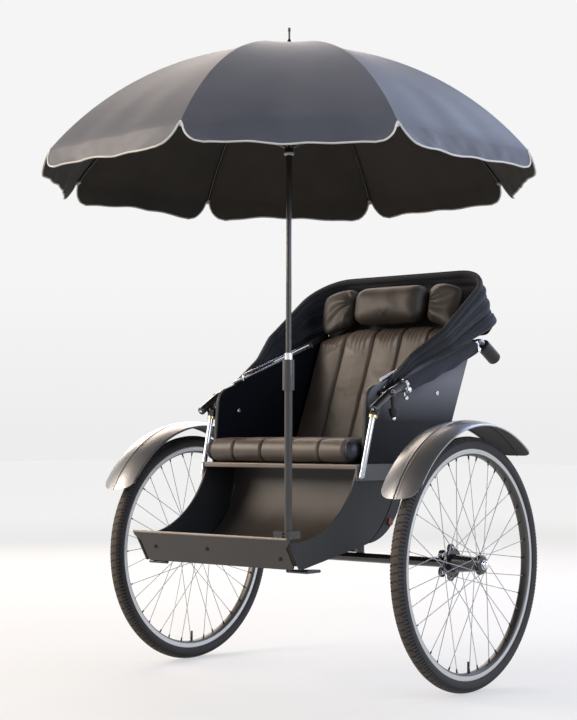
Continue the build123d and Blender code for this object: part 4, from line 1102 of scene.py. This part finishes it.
for side, hand in sides:
    wing_middle = Vector((hand * 0.2065, 0.2120, 0.7460))

    def wing_place(point):
        out = swell(hand * point.x, -0.045, 0.060)
        lifted = point.z / 0.062
        drop = 0.026 * out * max(0, -lifted) + 0.016 * out ** 2 * max(0, lifted)
        return leaning(Vector((point.x, point.y * (1 - 0.35 * out) - 0.010 * out, point.z - drop)), wing_middle)

    wing = rounded_block((0.061, 0.033, 0.062), 0.029, 20)
    reshaped(wing, wing_place)
    puffed(wing, 0.0045, 3.0, 0.008, lambda point: point.y > 0.236 or abs(point.x) < 0.149, 0.01)
    for vertex in wing.data.vertices:
        local = vertex.co - wing_middle
        across, down = hand * local.x + 0.058, 0.045 - local.z
        ray = math.atan2(down - 0.030, across + 0.012)
        fold = math.sin(ray * 5.2 + hand * 1.1 + 2.2 * noise.noise(Vector((local.x * 9, 0, local.z * 9))))
        sharp = math.copysign(abs(fold) ** 1.6, fold)
        front = swell(-local.y, -0.012, 0.02) * swell(across, 0.0, 0.025)
        vertex.co.y += 0.0062 * sharp * front * (1 - 0.35 * swell(across, 0.07, 0.12))
    smooth(wing, 60)
    # The wing takes the darker copy of the taupe leather: painted shade.
    fitted(wing, "head_wing_" + side, [taupe_leather_painted_shade], "chassis", ["head_cushions"])

# ---- Arm fittings --------------------------------------------------------------------------
# The struts are bent chromed tube, bolted at the foot, with a brass ring and a black socket on
# top. Turned split clamps, a domed pivot nut and a black latch knob under each arm hold the hood.

brass = bright("lacquered_brass", "#E6D6A6", 0.2)
arm_way = arm_rise.normalized()


def both_hands(piece):
    """Makes a mirrored twin for the other side of the carriage."""
    pick(piece)
    bpy.ops.object.duplicate()
    twin = bpy.context.object
    twin.data.transform(Matrix.Scale(-1, 4, (1, 0, 0)))
    twin.data.flip_normals()
    return joined([piece, twin])


def turned(outline, place, direction, steps=32):
    """A turned part whose axis, drawn upright as (radius, height) in mm, starts at a place."""
    part = turned_post([(radius / 1000, height / 1000) for radius, height in outline], Vector((0, 0, 0)), steps)
    stand(part, place, direction)
    return part


def filed_block(half, radius, place, direction):
    """A small block with filed edges; its height lies along a direction."""
    block = rounded_block(Vector(half), radius, 5)
    stand(block, place, direction)
    smooth(block, 50)
    return block


# A strut's line: its foot on the seat strap, its knee under the arm and its head in the arm's socket
foot, knee, head = (Vector((0.3010, -0.3600, 0.2125)), Vector((0.3080, -0.3120, 0.3965)),
                    Vector((0.3260, -0.2790, 0.4405)))
strut_way, lean, setback = (knee - foot).normalized(), (head - knee).normalized(), 0.0096
strut_line = [foot + (knee - strut_way * setback - foot) * step / 6 for step in range(6)]
strut_line += [knee - strut_way * setback * (1 - step / 8) ** 2 + lean * setback * (step / 8) ** 2 for step in range(9)]
strut_line.append(head - lean * 0.0100)
bolt = turned([(0.4, 0), (4.0, 0), (4.0, 8.0), (0.4, 8.0)], Vector((0.2930, -0.3600, 0.2125)), (1, 0, 0), 24)
struts = joined([round_strand(strut_line, 0.0080, 8), bolt])
fitted(both_hands(struts), "strut_tubes", [chrome_plate], "chassis", ["struts"])
ring_place = Vector((0.3074, -0.3153, 0.3790))
rings = turned([(8.5, 0), (11.6, 0), (12.8, 1.2), (12.8, 3.4), (11.8, 4.4), (11.8, 5.2), (12.8, 6.2), (12.8, 7.6),
                (11.6, 8.8), (8.5, 8.8)], ring_place, strut_way)
fitted(both_hands(rings), "strut_rings", [brass])
socket = turned([(8.6, 0), (12.0, 0), (12.6, 1.0), (13.0, 10.0), (14.6, 13.0), (14.6, 22.0), (13.0, 25.0), (8.6, 25.0)],
                ring_place + strut_way * 0.0089, strut_way + Vector((0.12, 0, 0)))
fitted(both_hands(socket), "strut_sockets", [enamel])

clamps = []
for reach, drop in ((0.0785, 0.0140), (0.470, 0.0150)):
    seat = arm_start + arm_way * reach
    clamps.append(turned([(12.1, -6.5), (14.4, -6.5), (15.2, -5.7), (15.2, -1.6), (14.4, -1.0), (14.4, 1.0),
                          (15.2, 1.6), (15.2, 5.7), (14.4, 6.5), (12.1, 6.5)], seat, arm_way, 40))
    block = seat + Vector((0.0020, 0, -drop))
    clamps.append(filed_block((0.0125, 0.0070, 0.0105), 0.0022, block, arm_way))
    clamps.append(turned([(0.4, -16.0), (4.2, -16.0), (5.0, -15.0), (5.0, 15.0), (7.6, 15.6), (7.6, 18.4),
                          (5.4, 20.4), (0.4, 21.0)], block + Vector((0, 0, -0.0020)), (1, 0, 0), 24))
    if drop < 0.0145:
        eye = block + Vector((0, 0.0030, -0.0245))
        clamps.append(turned([(0.4, -4.0), (3.2, -4.0), (3.2, 0), (6.0, 0.6), (7.0, 2.0), (7.0, 5.0), (5.0, 7.4),
                              (0.4, 8.0)], eye, (1, 0, 0), 24))
        clamps.append(turned([(0.4, 0), (2.6, 0), (2.6, 20), (0.4, 20)], eye + Vector((-0.0020, 0, 0)),
                             (0, -0.15, 1), 16))
fitted(both_hands(joined(clamps)), "arm_clamps", [chrome])

arm_end, end_way = Vector((0.326, -0.337, 0.4055)), Vector((0, -0.074, -0.045))
plug = turned([(4.6, 0.3), (11.8, 0.3), (12.7, 1.6), (12.7, 3.2), (11.4, 5.0), (9.0, 5.8), (4.6, 5.8)],
              arm_end, end_way)
nut = turned([(0.4, 11.9), (9.0, 11.9), (9.4, 13.0), (9.4, 14.2), (7.2, 14.8), (7.0, 17.2), (4.6, 19.4), (0.4, 20.2)],
             arm_start, (1, 0, 0), 24)
fitted(both_hands(joined([plug, nut])), "arm_ends", [enamel])
stud = turned([(0.4, 0.3), (4.5, 0.3), (4.5, 6.2), (3.4, 7.8), (0.4, 8.2)], arm_end, end_way, 24)
fitted(both_hands(stud), "arm_end_studs", [chrome])

hang = Vector((0, 0.10, -1)).normalized()
knob_top = Vector((0.326, -0.2475, 0.4440))
stem = turned([(0.4, 0), (6.4, 0), (6.8, 8.0), (5.0, 14.0), (4.6, 34.0), (5.6, 36.0), (12.2, 37.0), (13.0, 39.0),
               (12.8, 43.0), (10.4, 54.0), (7.2, 61.0), (6.2, 62.4), (0.4, 62.4)], knob_top, hang)
fitted(both_hands(stem), "latch_knobs", [grip_rubber])
tip = turned([(0.4, 62.0), (5.6, 62.0), (6.6, 63.4), (6.9, 66.0), (5.6, 69.0), (3.2, 70.8), (0.4, 71.4)],
             knob_top, hang, 24)
fitted(both_hands(tip), "latch_tips", [chrome])

# ---- Panel trims ---------------------------------------------------------------------------
# The side panels' edges carry a crimped strip, and round-headed bolts fix the seat. A slim
# chromed grab bar stands on two feet above the right panel's rail, and a rubber strip on each
# panel's rear corner closes the gap under the hood.

hem_side, hem_centre, hem_radius = 0.2820, Vector((0.2820, -0.2595, 0.4202)), 0.0555
hem_line = [Vector((hem_side, -0.3305 + 0.0160 * step / 8, 0.2560 + 0.1690 * step / 8)) for step in range(8)]
for step in range(13):
    turn = math.radians(174.6 - 65.4 * step / 12)
    hem_line.append(hem_centre + hem_radius * Vector((0, math.cos(turn), math.sin(turn))))
hems = round_strand(hem_line, 0.0022, 3)
for vertex in hems.data.vertices:
    vertex.co.x = hem_side + (vertex.co.x - hem_side) * 3.1
fitted(both_hands(hems), "panel_hems", [graphite])

bar_start, bar_end = Vector((-0.2795, -0.200, 0.5180)), Vector((-0.2795, 0.134, 0.6345))
bar_way = (bar_end - bar_start).normalized()
bar_down = Vector((0, 0.329, -0.944))
bar_line = [bar_start + bar_down * 0.0165 - bar_way * 0.004, bar_start + bar_down * 0.0080 - bar_way * 0.003,
            bar_start + bar_down * 0.0022]
bar_line += [bar_start + bar_way * 0.004 + (bar_end - bar_start - bar_way * 0.008) * step / 6 for step in range(7)]
bar_line += [bar_end + bar_down * 0.0022, bar_end + bar_down * 0.0080 + bar_way * 0.003,
             bar_end + bar_down * 0.0165 + bar_way * 0.004]
grab_bar = round_strand(bar_line, 0.0038, 4)
eased(grab_bar)
fitted(grab_bar, "grab_bar_right", [chrome])

weather_strip = filed_block((0.0045, 0.0115, 0.0520), 0.0040, Vector((0.2850, 0.1862, 0.6461)), (0, 0.944, 0.329))
fitted(both_hands(weather_strip), "weather_strips", [grip_rubber])

bolts = []
for across, behind, height, facing in ((0.2879, 0.033, 0.4575, 1), (0.2761, -0.225, 0.4055, -1),
                                       (0.2929, -0.120, 0.2260, 1), (0.2929, -0.010, 0.2260, 1)):
    bolts.append(button_head((across, behind, height), (facing, 0, 0), 0.0068, 0.0042))
fitted(both_hands(joined(bolts)), "panel_bolts", [chrome])

# ---- Tray trims ----------------------------------------------------------------------------
# The tray's upper edge is rolled over a wire and coloured pale as a painted highlight. Three screws hold it to the
# floor sheet's flange, and two pinch screws close the clamp on the pole.

# The rolled edge is paler than the tray: a painted highlight.
lip_painted_highlight = coated("rolled_edge_painted_highlight", "#857B71", "#A0958A", 0.34, 0.0014, 0.0002)


def screws_on(node, starts, way, radius, height):
    """Domed screws where lines from starts meet a CAD node."""
    screws = []
    for start in starts:
        hit, spot, outward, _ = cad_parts[node].ray_cast(Vector(start), Vector(way))
        if hit:
            screws.append(button_head(spot, outward, radius, height))
    return screws


lip = round_strand([Vector((-0.2850 + 0.570 * step / 12, -0.6676, 0.0555)) for step in range(13)], 0.0036, 4)
eased(lip)
fitted(lip, "tray_rolled_edge", [lip_painted_highlight])
tray_screws = screws_on("front_tray", [(-0.221, -1.2, 0.0125), (-0.021, -1.2, 0.0150), (0.236, -1.2, -0.0005)],
                        (0, 1, 0), 0.0055, 0.0036)
tray_screws += screws_on("pole_foot", [(0.270, -1.2, 0.0610), (0.270, -1.2, 0.0700)], (0, 1, 0), 0.0040, 0.0030)
fitted(joined(tray_screws), "tray_screws", [blackened_brass])

# ---- Floor beads ---------------------------------------------------------------------------
# A bead of black sealer runs along both edges of the footwell's floor, from the tray up to the
# seat, and closes its joint with the side plates.

beads = []
floor_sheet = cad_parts["footwell_sheet"]
for across in (-0.2740, 0.2740):
    bead = []
    for step in range(40):
        turn = math.radians(-158 + 152 * step / 39)
        towards = Vector((0, math.cos(turn), math.sin(turn)))
        hit, spot, outward, _ = floor_sheet.ray_cast(Vector((across, -0.440, 0.200)), towards)
        if hit:
            bead.append(spot)
    beads.append(round_strand(bead, 0.0030, 3))
fitted(joined(beads), "floor_beads", [enamel])

# ---- Back board screws ---------------------------------------------------------------------
# Two rows of chromed screws hold the back board to the flanges of the side panels. Their low
# domed heads stand on its rear face, five down each side.

rows = [(across, 1.2, 0.300 + 0.085 * row) for row in range(5) for across in (-0.258, 0.258)]
fitted(joined(screws_on("back_board", rows, (0, -1, 0), 0.0060, 0.0040)), "board_screws", [chrome])
